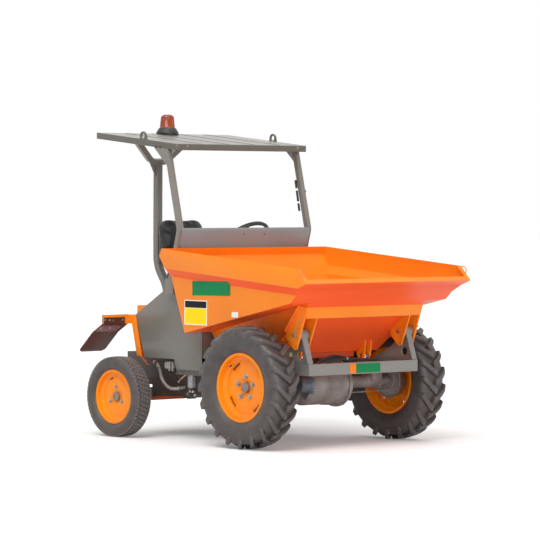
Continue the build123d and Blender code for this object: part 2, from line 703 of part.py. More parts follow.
def knuckle(side):
    """The steered end of the rear axle: block, spindle and arm, turning on the kingpin."""
    z = REAR_TYRE_R
    shoulder = KINGPIN_Y + KNUCKLE_OUT
    body = box(REAR_AXLE - 26, REAR_AXLE + 26, KINGPIN_Y - 28, KINGPIN_Y + 30, z - KNUCKLE_HALF,
               z + KNUCKLE_HALF)
    body = body + cross_rod(REAR_AXLE, z, KINGPIN_Y + 28, shoulder, 30)
    body = body + cross_rod(REAR_AXLE, z, shoulder - 1, shoulder + REAR_SPINDLE_REACH, REAR_SPINDLE_R)
    arm_y = KINGPIN_Y - STEER_ARM_Y
    body = body + box(REAR_AXLE - STEER_ARM - 16, REAR_AXLE - 20, arm_y - 12, arm_y + 12, z + 10, z + 26)
    body = body - Pos(REAR_AXLE, KINGPIN_Y, z) * Cylinder(KINGPIN_R + PIN_GAP, 200)
    return body if side > 0 else mirror(body, about=Plane.XZ)


def make_tie_rod():
    x = REAR_AXLE - STEER_ARM
    z = REAR_TYRE_R + 26 + SEAT_GAP
    y = KINGPIN_Y - STEER_ARM_Y
    shape = rod((x, -y, z + 9), (x, y, z + 9), 8)
    for part in both_sides(Pos(x, y, z + 9) * Cylinder(15, 18)):
        shape = shape + part
    return shape


# ---- engine bay ----
ENGINE = dict(rear=COWL["rear"] + ENGINE_AIR, front=COWL["front"] - 20, half=210.0, bottom=440.0,
              top=700.0)
GEARBOX = dict(front=-640.0, half=130.0, bottom=330.0, top=530.0)
SHAFT_R = 22.0


def make_engine():
    """The engine's mass: one block with its head, on two feet over the rear axle's cross member."""
    e = ENGINE
    block = box(e["rear"], e["front"], -e["half"], e["half"], e["bottom"], e["top"])
    head = box(e["rear"] + 60, e["front"] - 70, -120, 120, e["top"], e["top"] + 110)
    feet = box(REAR_AXLE - 35, REAR_AXLE + 35, -e["half"], e["half"], CROSS_TOP + SEAT_GAP, e["bottom"])
    feet = feet - box(REAR_AXLE - 40, REAR_AXLE + 40, -120, 120, CROSS_TOP, e["bottom"])
    return block + head + feet


def make_gearbox():
    g = GEARBOX
    return box(ENGINE["front"] + SEAT_GAP, g["front"], -g["half"], g["half"], g["bottom"], g["top"])


def make_prop_shaft():
    z = FRONT_TYRE_R
    return rod((GEARBOX["front"] + SEAT_GAP, 0, z), (-HOUSING_R - NOSE_REACH - SEAT_GAP, 0, z), SHAFT_R)


TANKS = [  # side, rear, front, bottom, top
    (-1, -870.0, -560.0, 440.0, 538.0),
    (1, -870.0, -560.0, 380.0, 538.0),
]
TANK_DEPTH = 168.0
FILTER = dict(x=-760.0, y=-486.0, radius=30.0, bottom=350.0, top=452.0)
BOTTLE = dict(x=-1040.0, length=58.0, depth=70.0, bottom=412.0, top=470.0)


def make_tanks():
    """The hydraulic tank on the right and the fuel tank on the left, bolted to the chassis plates."""
    tanks = []
    for side, rear, front, bottom, top in TANKS:
        near = side * (CHASSIS_HALF + SEAT_GAP)
        tanks.append(box(rear, front, near, near + side * TANK_DEPTH, bottom, top))
    f = FILTER
    head = Pos(f["x"], f["y"], f["top"] - 10) * Cylinder(f["radius"] + 6, 26)
    bowl = Pos(f["x"], f["y"], (f["top"] + f["bottom"]) / 2) * Cylinder(f["radius"], f["top"] - f["bottom"])
    bowl = fillet(bowl.edges().filter_by(GeomType.CIRCLE).sort_by(Axis.Z)[0], 14)
    tanks[0] = tanks[0] + head + bowl
    b = BOTTLE
    near = -CHASSIS_HALF - SEAT_GAP
    tanks.append(box(b["x"] - b["length"] / 2, b["x"] + b["length"] / 2, near - b["depth"], near,
                     b["bottom"], b["top"]))
    return tanks


def make_cowl():
    c = COWL
    z0 = CHASSIS_TOP + FLOOR_PLATE + SEAT_GAP
    outer = box(c["rear"], c["front"], -c["half"], c["half"], z0, c["top"])
    inner = box(c["rear"] + c["plate"], c["front"] - c["plate"], -c["half"] + c["plate"],
                c["half"] - c["plate"], z0 - 10, c["top"] - c["plate"])
    return outer - inner


def make_cowl_base():
    c = COWL
    frame = box(CHASSIS_REAR_X - 10, FLOOR_REAR - SEAT_GAP, -CHASSIS_HALF, CHASSIS_HALF, CHASSIS_TOP,
                CHASSIS_TOP + FLOOR_PLATE)
    lip = COWL_SEAT
    hole = box(c["rear"] + lip, c["front"] - lip, -c["half"] + lip, c["half"] - lip, 500, 700)
    return frame - hole


# ---- operator's place ----
WING_BAR_X = -1330.0
FLAP_OUT = 785.0
FLAP_PLATE = 6.0
FLAP_CORNER = 34.0


def panel_outline():
    return [(-592, 475), (-592, 727), (-648, 880), (-717, 1068), (-866, 1068), (-1267, 830),
            (-1173, PANEL_BOTTOM), (-870, PANEL_BOTTOM), (-850, 475)]


def make_bulkhead():
    """Floor and leg shield in one sheet, between the side panels."""
    mid = CHASSIS_TOP + SEAT_GAP + FLOOR_PLATE / 2
    chain = [(FLOOR_REAR, mid), (-600, mid), (-600, 727), (-656, 880), (-724, 1066), (-834, 1070)]
    half = PANEL_HALF - PANEL_PLATE - SEAT_GAP
    return side_plate(ribbon(chain, FLOOR_PLATE), -half, half)


def make_side_panel(side):
    plate = side_plate(panel_outline(), PANEL_HALF - PANEL_PLATE, PANEL_HALF)
    return plate if side > 0 else mirror(plate, about=Plane.XZ)


def make_rear_wings():
    y0 = CHASSIS_HALF + SEAT_GAP
    inner = PANEL_HALF - PANEL_PLATE
    strip = side_plate([(-1268, 828), (-1320, 828), (-1253, 552), (-1200, 552)], inner, PANEL_HALF)
    back = side_plate([(-1316, 828), (-1320, 828), (-1253, 552), (-1249, 552)], y0, PANEL_HALF)
    bar = box(WING_BAR_X - 4, WING_BAR_X + 14, 480, FLAP_OUT - 2, 767, 828)
    bar = bar - box(WING_BAR_X + 2, WING_BAR_X + 30, PANEL_HALF, 800, 700, 900)
    y1 = PANEL_HALF - PANEL_PLATE / 2
    corners = [(-1231, y1, 556), (-1203, y1, 556), (-1218, 464, 486), (-1246, 464, 486)]
    tongue = extrude(make_face(Polyline(*corners, close=True)), amount=PANEL_PLATE / 2, both=True)
    wing = (strip + back + bar + tongue) & box(-1500, -1000, 0, FLAP_OUT, 400, 900)
    wing = wing - (tongue & box(-1500, -1000, PANEL_HALF, 900, 400, 900))
    return both_sides(wing)


def make_mudflaps():
    x = WING_BAR_X - 7.3
    chain = [(x, 830), (x, 768), (-1440, 708), (-1590, 572)]
    flap = side_plate(ribbon(chain, FLAP_PLATE), 556, FLAP_OUT)
    corners = flap.edges().filter_by(lambda e: e.length < FLAP_PLATE + 1 and e.center().X < -1560)
    return both_sides(fillet(corners, FLAP_CORNER))


POST_CHAIN = [(-855.0, 1080.0), (-769.0, 1412.0), (-905.0, 1980.0)]


def post_gusset():
    """The three-cornered plate behind a post's top, under the roof's skirt."""
    foot, knee, head = POST_CHAIN
    lean = atan2(knee[0] - head[0], head[1] - knee[1])
    edge = POST_SIZE / 2 / cos(lean)
    z = roof_z(head[0]) - ROOF_SKIRT
    x = along(knee, head, z) - edge
    low = z - GUSSET_DROP * cos(lean)
    inside = 6
    corners = [(x + inside, z + 20), (x - GUSSET_REACH, z + 20), (x - GUSSET_REACH, z + 10),
               (along(knee, head, low) - edge, low), (along(knee, head, low) - edge + inside, low)]
    y = POST_Y + POST_SIZE / 2
    return side_plate(corners, y - GUSSET_PLATE, y)


def make_rops():
    y = POST_Y
    chain = [(x, y, z) for x, z in POST_CHAIN]
    post = bent_bar(chain, POST_SIZE, POST_SIZE, POST_BEND) + post_gusset()
    left, right = both_sides(post)
    foot, knee, head = POST_CHAIN
    face = POST_SIZE / 2
    plate = ribbon([(foot[0] + face, foot[1]), (along(foot, knee, 1240) + face - 4, 1240),
                    (knee[0] + face, knee[1] - 7), (knee[0] + face, knee[1] + 11)], 4)
    frame = left + right + side_plate(plate, -y, y)
    low = ROOF_SKIRT + SEAT_GAP
    frame = frame & side_plate([(-1100, 900), (-600, 900), (-600, roof_z(-600) - low),
                                (-1100, roof_z(-1100) - low)], -700, 700)
    bracket = box(-900, -820, PANEL_HALF + SEAT_GAP, y + POST_SIZE / 2, FOOT_BOTTOM, foot[1] + 5)
    for part in both_sides(bracket):
        frame = frame + part
    return frame


EYE_X = -1136.0
EYE_OUTER = 30.0
EYE_BORE_R = 18.0
EYE_RISE = 22.0           # of the bore's middle over the roof
EYE_PLATE = 12.0


def roof_z(x):
    return ROOF_REAR_Z - ROOF_SLOPE * (x - ROOF_REAR_X)


def make_roof():
    rear = ROOF_REAR_X
    front = ROOF_FRONT_X
    t = ROOF_PLATE
    outline = [(rear, roof_z(rear)), (rear, roof_z(rear) - ROOF_SKIRT),
               (front, roof_z(front) - ROOF_SKIRT), (front, roof_z(front))]
    solid = side_plate(outline, -ROOF_HALF, ROOF_HALF)
    hollow = side_plate([(rear + t, roof_z(rear) - t), (rear + t, 1800), (front - t, 1800),
                         (front - t, roof_z(front) - t)], -ROOF_HALF + t, ROOF_HALF - t)
    solid = fillet(solid.edges().filter_by(Axis.Z).group_by(Axis.X)[-1], ROOF_CORNER)
    hollow = fillet(hollow.edges().filter_by(Axis.Z).group_by(Axis.X)[-1], ROOF_CORNER - t)
    roof = solid - hollow
    x0 = rear + 20
    x1 = front - 20
    for y in ROOF_SEAMS:
        roof = roof + side_plate([(x0, roof_z(x0) - 1), (x1, roof_z(x1) - 1), (x1, roof_z(x1) + SEAM_HEIGHT),
                                  (x0, roof_z(x0) + SEAM_HEIGHT)], y - SEAM_WIDTH / 2, y + SEAM_WIDTH / 2)
    return roof


def make_rear_post():
    foot_x = COWL["rear"] - SEAT_GAP - REAR_POST_W / 2
    chain = [(foot_x, 0, CHASSIS_TOP - 54), (foot_x, 0, 999), (REAR_POST_X, 0, 1150),
             (REAR_POST_X, 0, YOKE_Z - 6)]
    tube = bent_bar(chain, REAR_POST_W, REAR_POST_DEPTH, REAR_POST_BEND)
    clear = box(CHASSIS_REAR_X - 10 - SEAT_GAP, COWL["rear"], -100, 100, CHASSIS_TOP - 158,
                CHASSIS_TOP + FLOOR_PLATE + SEAT_GAP)
    return tube - clear


def make_yoke():
    """The forked bar that carries the roof's rear edge; it leans forward to the skirt."""
    x = REAR_POST_X
    tip_y, tip_z = YOKE_TIP
    chain = [(x, -tip_y, tip_z), (x, -YOKE_KNEE_Y, YOKE_Z), (x, YOKE_KNEE_Y, YOKE_Z), (x, tip_y, tip_z)]
    bar = bent_bar(chain, YOKE_W, YOKE_DEPTH, YOKE_BEND)
    lean = Pos(x, 0, YOKE_Z) * Rot(0, YOKE_LEAN, 0) * Pos(-x, 0, -YOKE_Z)
    web = cross_plate([(-15, YOKE_Z - 122), (-78, YOKE_Z - 6), (-78, YOKE_Z + 8), (-15, YOKE_Z + 8)],
                      x - 3, x + 3)
    seat = ROOF_REAR_X - SEAT_GAP
    return (lean * bar + web) & box(seat - 200, seat, -500, 500, 1600, roof_z(ROOF_REAR_X) - 6)


def make_lifting_eyes():
    x = EYE_X
    z = roof_z(x) + EYE_RISE
    y1 = ROOF_HALF - ROOF_PLATE / 2
    y0 = y1 - EYE_PLATE
    foot = side_plate([(x - EYE_OUTER - 5, roof_z(x) - 3), (x - EYE_OUTER, z), (x + EYE_OUTER, z),
                       (x + EYE_OUTER + 5, roof_z(x) - 3)], y0, y1)
    eye = foot + cross_rod(x, z, y0, y1, EYE_OUTER)
    hole = cross_rod(x, z, 0, 900, EYE_BORE_R)
    return both_sides(eye - hole)


def make_roof_with_eyes():
    roof = make_roof()
    for eye in make_lifting_eyes():
        roof = roof + eye
    return roof


BEACON_HEIGHT = 46.0
BEACON_X = -1550.0
BEACON_Y = -20.0
LENS_R = 54.0
LENS_TOP_R = 46.0
LENS_HEIGHT = 94.0


def make_beacon_base():
    """A cone whose foot is cut to the slope of the roof."""
    top = BEACON_HEIGHT
    wide = LENS_R + 24
    face = make_face(Polyline((0, 0, -20), (wide, 0, -20), (wide, 0, 14), (LENS_R + 4, 0, top), (0, 0, top),
                              close=True))
    ring = Pos(BEACON_X, BEACON_Y, roof_z(BEACON_X)) * revolve(face, axis=Axis.Z, revolution_arc=360)
    x0 = BEACON_X - 100
    x1 = BEACON_X + 100
    return ring - side_plate([(x0, roof_z(x0) + SEAT_GAP), (x1, roof_z(x1) + SEAT_GAP), (x1, 1900),
                              (x0, 1900)], -200, 200)


def make_beacon_lens():
    """A dome that narrows a little to its rounded top."""
    z = roof_z(BEACON_X) + BEACON_HEIGHT + SEAT_GAP
    top = LENS_HEIGHT
    outline = Polyline((0, 0, 0), (LENS_R, 0, 0), (LENS_TOP_R, 0, top * 0.8),
                       (LENS_TOP_R * 0.85, 0, top * 0.92), (LENS_TOP_R * 0.5, 0, top * 0.98),
                       (0, 0, top), close=True)
    lens = revolve(make_face(outline), axis=Axis.Z, revolution_arc=360)
    return Pos(BEACON_X, BEACON_Y, z) * lens


SEAT_PAN = 60.0
CUSHION = 90.0
SEAT_TOP = 1488.0
SEAT_REAR = COWL["rear"] + 60
SEAT_LENGTH = 420.0
SEAT_HALF = 215.0
SEAT_SHOULDER = 90.0


def make_seat_base():
    return box(SEAT_REAR + 20, SEAT_REAR + SEAT_LENGTH - 20, -SEAT_HALF + 15, SEAT_HALF - 15,
               COWL["top"] + SEAT_GAP, COWL["top"] + SEAT_PAN)


def make_seat_pads():
    z0 = COWL["top"] + SEAT_PAN + SEAT_GAP
    z1 = z0 + CUSHION
    x0 = SEAT_REAR
    cushion = box(x0, x0 + SEAT_LENGTH, -SEAT_HALF, SEAT_HALF, z0, z1)
    cushion = fillet(cushion.edges().filter_by(Axis.Z).group_by(Axis.X)[-1], 60)
    half = SEAT_HALF - 15
    back = side_plate([(x0 + 5, z1 + SEAT_GAP), (x0 + 95, z1 + SEAT_GAP), (x0 + 75, SEAT_TOP),
                       (x0 + 5, SEAT_TOP)], -half, half)
    back = fillet(back.edges().filter_by(Axis.X).group_by(Axis.Z)[-1], SEAT_SHOULDER)
    return [cushion, back]


COLUMN_FOOT = (-880.0, 200.0, 550.0)
WHEEL_CENTRE = (-990.0, 200.0, 1340.0)
WHEEL_TILT = 40.0
WHEEL_R = 185.0
GRIP_R = 14.0


def make_column():
    c = Vector(*WHEEL_CENTRE)
    tilt = radians(WHEEL_TILT)
    axis = Vector(-sin(tilt), 0, cos(tilt))
    top = c - axis * 40
    knee = c - axis * 150
    upper = rod(tuple(knee), tuple(top), 24)
    lower = rod(COLUMN_FOOT, tuple(knee), 28)
    return (upper + lower) - box(-1200, -700, 0, 400, 300, CHASSIS_TOP + FLOOR_PLATE + 2 * SEAT_GAP)


def make_steering_wheel():
    c = Vector(*WHEEL_CENTRE)
    tilt = radians(WHEEL_TILT)
    axis = Vector(-sin(tilt), 0, cos(tilt))
    plane = Plane(origin=c, z_dir=axis)
    middle = WHEEL_R - GRIP_R
    grip = Pos(middle, 0, 0) * Rot(90, 0, 0) * RegularPolygon(GRIP_R, 6)
    shape = revolve(grip, axis=Axis.Z, revolution_arc=360) + Pos(0, 0, -20) * Cylinder(30, 38)
    for turn in (90, 210, 330):
        shape = shape + Rot(0, 0, turn) * Pos(middle / 2, 0, -6) * Box(middle, 24, 8)
    return plane.location * shape


def make_levers():
    lever = rod((-800, -300, 550), (-860, -300, 1040), 8)
    return lever - box(-900, -700, -400, 0, 500, CHASSIS_TOP + FLOOR_PLATE + 2 * SEAT_GAP)


def make_tow_hitch():
    plates = box(CHASSIS_REAR_X - 90, CHASSIS_REAR_X - 10.3, -45, 45, 420, 500)
    gap = box(CHASSIS_REAR_X - 100, CHASSIS_REAR_X - 30, -60, 60, 440, 480)
    hole = Pos(CHASSIS_REAR_X - 60, 0, 460) * Cylinder(12.5, 200)
    return plates - gap - hole


# ---- tipping cylinder ----
def cylinder_axis():
    dx = ROD_EYE[0] - BARREL_BASE[0]
    dz = ROD_EYE[1] - BARREL_BASE[1]
    run = hypot(dx, dz)
    return dx / run, dz / run, run


def on_cylinder(distance):
    ux, uz, run = cylinder_axis()
    return (BARREL_BASE[0] + ux * distance, 0, BARREL_BASE[1] + uz * distance)


def make_barrel():
    tube = rod(on_cylinder(BARREL_START), on_cylinder(BARREL_LENGTH), BARREL_R)
    tube = tube + rod(on_cylinder(10), on_cylinder(BARREL_START + 2), EYE_HALF - 2)
    bore = rod(on_cylinder(60), on_cylinder(BARREL_LENGTH - GLAND), BARREL_R - BARREL_WALL)
    bore = bore + rod(on_cylinder(60), on_cylinder(BARREL_LENGTH + 1), ROD_R + PIN_GAP)
    eye = cross_rod(BARREL_BASE[0], BARREL_BASE[1], -EYE_HALF, EYE_HALF, EYE_R)
    hole = cross_rod(BARREL_BASE[0], BARREL_BASE[1], -100, 100, ROD_PIN_R + PIN_GAP)
    barrel = (tube - bore) + eye - hole
    return [Pos(0, y, 0) * barrel for y in (-CYLINDER_Y, CYLINDER_Y)]


def make_rod():
    ux, uz, run = cylinder_axis()
    bar = rod(on_cylinder(70), on_cylinder(run - 15), ROD_R)
    eye = cross_rod(ROD_EYE[0], ROD_EYE[1], -EYE_HALF, EYE_HALF, EYE_R)
    hole = cross_rod(ROD_EYE[0], ROD_EYE[1], -100, 100, ROD_PIN_R + PIN_GAP)
    piston = bar + eye - hole
    return [Pos(0, y, 0) * piston for y in (-CYLINDER_Y, CYLINDER_Y)]


def make_barrel_lugs():
    x, z = BARREL_BASE
    lug = side_plate([(FRAME_REAR_X + 49, BEAM_TOP), (FRAME_REAR_X + 49, BEAM_BOTTOM), (x - 10, z - 24),
                      (x + 14, z - 20), (x + 24, z), (x + 14, z + 22)], EYE_HALF + 2, EYE_HALF + 14)
    lugs = both_sides(lug)
    pin = cross_rod(x, z, -EYE_HALF - 13, EYE_HALF + 13, ROD_PIN_R)
    group = lugs[0] + lugs[1] + pin
    return [Pos(0, y, 0) * group for y in (-CYLINDER_Y, CYLINDER_Y)]


def main():
    outer, shell = make_skip()
    for loop in make_rail_loops():
        shell = shell + loop
    save("skip_shell", shell)
    brackets = make_skip_brackets(outer)
    save("skip_brackets", [brackets] + make_skip_eyes(outer))
    lugged = front_tyre()
    plain = rear_tyre()
    for name, side in (("left", 1), ("right", -1)):
        save("front_tyre_" + name, Pos(0, side * FRONT_Y, 0) * lugged)
        save("front_rim_" + name, front_rim(side))
        save("front_hub_" + name, front_hub(side))
        save("rear_tyre_" + name, Pos(0, side * REAR_Y, 0) * plain)
        save("rear_rim_" + name, rear_rim(side))
        save("rear_hub_" + name, rear_hub(side))
        save("knuckle_" + name, knuckle(side))
        save("side_panel_" + name, make_side_panel(side))
    save("front_frame", make_front_frame())
    save("pivot_pins", make_pivot_pins())
    save("drive_axle", make_drive_axle())
    save("chassis", make_chassis())
    save("rear_axle", make_rear_axle())
    save("tie_rod", make_tie_rod())
    save("engine", make_engine())
    save("transmission", [make_gearbox(), make_prop_shaft()])
    save("tanks", make_tanks())
    save("engine_cover", make_cowl())
    save("rear_wings", make_rear_wings())
    save("bulkhead", make_bulkhead())
    save("mudflaps", make_mudflaps())
    save("rops_frame", make_rops())
    save("roof", make_roof_with_eyes())
    save("rear_post", make_rear_post() + make_yoke())
    save("beacon_base", make_beacon_base())
    save("beacon_lens", make_beacon_lens())
    save("seat_base", make_seat_base())
    save("seat_pads", make_seat_pads())
    save("steering_column", make_column())
    save("steering_wheel", make_steering_wheel())
    save("control_levers", make_levers())
    save("tow_hitch", make_tow_hitch())
    save("tip_barrel", make_barrel())
    save("tip_rod", make_rod())


main()
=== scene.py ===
# Site dumper: finishes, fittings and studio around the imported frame. Metres, +X forward, +Z up.
import json
from math import cos, pi, radians, sin

import bmesh
import bpy
from mathutils import Matrix, Vector

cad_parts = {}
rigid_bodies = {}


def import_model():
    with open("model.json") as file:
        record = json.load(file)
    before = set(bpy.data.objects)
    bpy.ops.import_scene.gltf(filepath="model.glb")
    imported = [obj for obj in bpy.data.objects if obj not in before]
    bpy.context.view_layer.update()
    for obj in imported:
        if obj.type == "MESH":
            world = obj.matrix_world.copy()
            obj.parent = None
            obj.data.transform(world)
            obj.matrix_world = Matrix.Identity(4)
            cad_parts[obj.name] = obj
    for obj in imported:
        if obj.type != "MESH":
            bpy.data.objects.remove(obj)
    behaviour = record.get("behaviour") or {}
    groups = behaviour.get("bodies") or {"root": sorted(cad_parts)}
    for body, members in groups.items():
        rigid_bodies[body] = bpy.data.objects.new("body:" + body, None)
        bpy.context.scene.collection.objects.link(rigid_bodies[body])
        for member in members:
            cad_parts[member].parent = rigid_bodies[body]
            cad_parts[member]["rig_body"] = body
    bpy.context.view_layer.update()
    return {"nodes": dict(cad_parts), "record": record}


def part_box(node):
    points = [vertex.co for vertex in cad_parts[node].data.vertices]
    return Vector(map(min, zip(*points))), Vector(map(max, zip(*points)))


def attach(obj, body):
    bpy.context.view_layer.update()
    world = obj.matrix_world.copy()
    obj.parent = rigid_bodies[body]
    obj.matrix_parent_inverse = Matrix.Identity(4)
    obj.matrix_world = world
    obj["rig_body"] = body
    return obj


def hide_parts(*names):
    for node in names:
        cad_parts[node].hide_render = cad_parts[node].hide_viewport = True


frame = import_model()
slotOf = {part["node"]: part["material_slot"] for part in frame["record"]["subparts"]}
print("frame:", len(frame["nodes"]), "nodes")


def middle(node):
    low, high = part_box(node)
    return (low + high) / 2


def bodyOf(node):
    return frame["nodes"][node]["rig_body"]


def link(obj):
    bpy.context.scene.collection.objects.link(obj)
    return obj


sides = ((1, "Left"), (-1, "Right"))  # towards +Y, towards -Y


# node trees: how nodes are added and joined
def add(tree, kind, feeds=(), **settings):
    # feeds: input label or number to another node's output, or to a plain value
    made = tree.nodes.new(kind)
    for key, value in settings.items():
        setattr(made, key, value)
    for label, source in dict(feeds).items():
        if isinstance(source, bpy.types.NodeSocket):
            tree.links.new(source, made.inputs[label])
        else:
            made.inputs[label].default_value = source
    return made


def maths(tree, operation, *terms, clamp=False):
    return add(tree, "ShaderNodeMath", enumerate(terms), operation=operation, use_clamp=clamp).outputs[0]


def spread(tree, value, low, high, toLow=0.0, toHigh=1.0):
    ends = {"From Min": low, "From Max": high, "To Min": toLow, "To Max": toHigh}
    return add(tree, "ShaderNodeMapRange", {"Value": value, **ends}).outputs["Result"]


def blendOf(tree, share, first, second):
    feeds = {"Factor": share, "A": first, "B": second}
    return add(tree, "ShaderNodeMix", feeds, data_type="RGBA").outputs["Result"]


# camera and studio
studio = {
    "place": (16.2295, -15.18, 1.711),
    "yaw": 46.887, "fall": 1.471, "roll": 0.277,
    "lens": 220.0, "sensor": 36.0,
    "ambient": 0.37,
    "floorHalf": 60, "floorTone": 0.93,
    "floorGlow": 0.14,  # seen by the camera alone
}


def makeCamera():
    yaw, fall, roll = (radians(studio[key]) for key in ("yaw", "fall", "roll"))
    ahead = Vector((-sin(yaw) * cos(fall), cos(yaw) * cos(fall), -sin(fall)))
    right = ahead.cross(Vector((0, 0, 1))).normalized()
    up = right.cross(ahead)
    side = cos(roll) * right + sin(roll) * up
    top = -sin(roll) * right + cos(roll) * up
    data = bpy.data.cameras.new("studioCamera")
    data.lens, data.sensor_width = studio["lens"], studio["sensor"]
    data.clip_start, data.clip_end = 1.0, 200.0
    camera = link(bpy.data.objects.new("studioCamera", data))
    turn = Matrix((side, top, -ahead)).transposed().to_4x4()
    camera.matrix_world = Matrix.Translation(studio["place"]) @ turn
    bpy.context.scene.camera = camera


def makeWorld():
    # white where the camera, a reflection or a see-through ray meets it, and softer as a light
    world = bpy.data.worlds.new("studioWorld")
    bpy.context.scene.world = world
    world.use_nodes = True
    tree = world.node_tree
    tree.nodes.clear()
    rays = add(tree, "ShaderNodeLightPath").outputs
    direct = maths(tree, "MAXIMUM", rays["Is Camera Ray"], rays["Is Glossy Ray"])
    seen = maths(tree, "MAXIMUM", direct, rays["Is Transmission Ray"])
    fill = add(tree, "ShaderNodeBackground", {"Color": (1, 1, 1, 1), "Strength": studio["ambient"]})
    white = add(tree, "ShaderNodeBackground", {"Color": (1, 1, 1, 1)})
    mix = add(tree, "ShaderNodeMixShader", {0: seen, 1: fill.outputs[0], 2: white.outputs[0]})
    add(tree, "ShaderNodeOutputWorld", {0: mix.outputs[0]})


lamps = {  # direction towards the lamp, strength, width in degrees
    "key": ((0.35, -0.75, 1.0), 1.4, 35),
    "overhead": ((0.0, 0.0, 1.0), 1.1, 60),
    "front": ((1.0, -0.35, 0.12), 1.2, 45),
}


def makeLamps():
    for name, (towards, strength, width) in lamps.items():
        data = bpy.data.lights.new(name, "SUN")
        data.energy, data.angle = strength, radians(width)
        lamp = link(bpy.data.objects.new(name, data))
        lamp.rotation_euler = (-Vector(towards)).to_track_quat("-Z", "Y").to_euler()


makeCamera()
makeWorld()
makeLamps()
bpy.context.scene.view_settings.view_transform = "Standard"
print("studio ready")


# shader groups shared by the finishes
def shade(r, g, b):
    return tuple(((c / 255 + 0.055) / 1.055) ** 2.4 for c in (r, g, b)) + (1.0,)


def newGroup(name, inputs, outputs):
    tree = bpy.data.node_groups.new(name, "ShaderNodeTree")
    for label, kind, value in inputs:
        socket = tree.interface.new_socket(name=label, in_out="INPUT", socket_type="NodeSocket" + kind)
        socket.default_value = value
    for label, kind in outputs:
        tree.interface.new_socket(name=label, in_out="OUTPUT", socket_type="NodeSocket" + kind)
    return tree, add(tree, "NodeGroupInput").outputs, add(tree, "NodeGroupOutput").inputs


def noiseIn(tree, scale, detail):
    where = add(tree, "ShaderNodeTexCoord").outputs["Object"]
    feeds = {"Vector": where, "Scale": scale, "Detail": detail}
    return add(tree, "ShaderNodeTexNoise", feeds).outputs["Fac"]


def makeDrift():
    # two tones of one colour, wandering slowly over the surface
    tree, given, out = newGroup("toneDrift", [("Base", "Color", (1, 1, 1, 1)), ("Other", "Color", (0, 0, 0, 1)),
                                              ("Scale", "Float", 3.0)], [("Color", "Color")])
    share = spread(tree, noiseIn(tree, given["Scale"], 5.0), 0.35, 0.68)
    tree.links.new(blendOf(tree, share, given["Base"], given["Other"]), out["Color"])
    return tree


def makeGrain():
    # a fine uneven skin: sprayed paint, sand-cast iron, moulded rubber
    tree, given, out = newGroup("skinGrain", [("Scale", "Float", 300.0), ("Depth", "Float", 0.1)],
                                [("Normal", "Vector")])
    feeds = {"Distance": 0.001, "Strength": given["Depth"], "Height": noiseIn(tree, given["Scale"], 2.0)}
    tree.links.new(add(tree, "ShaderNodeBump", feeds).outputs["Normal"], out["Normal"])
    return tree


def makeDust():
    # site dust: it settles on what faces up and is thicker near the ground
    tree, given, out = newGroup("siteDust", [("Amount", "Float", 0.3), ("Scale", "Float", 9.0),
                                             ("Reach", "Float", 0.6)], [("Mask", "Float")])
    noise = noiseIn(tree, given["Scale"], 8.0)
    facing = add(tree, "ShaderNodeSeparateXYZ", {0: add(tree, "ShaderNodeNewGeometry").outputs["Normal"]})
    height = add(tree, "ShaderNodeSeparateXYZ", {0: add(tree, "ShaderNodeTexCoord").outputs["Object"]})
    low = spread(tree, height.outputs["Z"], 0.0, given["Reach"], 1.0, 0.0)
    up = spread(tree, facing.outputs["Z"], 0.2, 1.0, 0.0, 0.7)
    patchy = maths(tree, "MULTIPLY", maths(tree, "ADD", low, up), noise)
    tree.links.new(maths(tree, "MULTIPLY", patchy, given["Amount"], clamp=True), out["Mask"])
    return tree


def makeFacingShade():
    # painted shade: a mask over the faces that look along one direction
    tree, given, out = newGroup("facingShade", [("Along", "Vector", (0, 0, -1)), ("Start", "Float", 0.1),
                                             ("Full", "Float", 0.6)], [("Mask", "Float")])
    normal = add(tree, "ShaderNodeNewGeometry").outputs["Normal"]
    along = add(tree, "ShaderNodeVectorMath", {0: normal, 1: given["Along"]}, operation="DOT_PRODUCT")
    tree.links.new(spread(tree, along.outputs["Value"], given["Start"], given["Full"]), out["Mask"])
    return tree


def makeGlint():
    # painted highlight: the proud edges made paler
    tree, given, out = newGroup("edgeGlint", [("Amount", "Float", 0.5)], [("Mask", "Float")])
    proud = spread(tree, add(tree, "ShaderNodeNewGeometry").outputs["Pointiness"], 0.52, 0.62)
    tree.links.new(maths(tree, "MULTIPLY", proud, given["Amount"]), out["Mask"])
    return tree


driftGroup, grainGroup, dustGroup = makeDrift(), makeGrain(), makeDust()
shadeGroup, glintGroup = makeFacingShade(), makeGlint()


def useGroup(tree, group, **values):
    made = add(tree, "ShaderNodeGroup", node_tree=group)
    for label, value in values.items():
        made.inputs[label].default_value = value
    return made.outputs[0]


def newMaterial(name, plain):
    # plain: the surface's inputs that hold one value
    material = bpy.data.materials.new(name)
    material.use_nodes = True
    surface = material.node_tree.nodes["Principled BSDF"].inputs
    for label, value in plain.items():
        surface[label].default_value = value
    return material, material.node_tree, surface


dulling = 0.35  # how much rougher full dust makes a surface


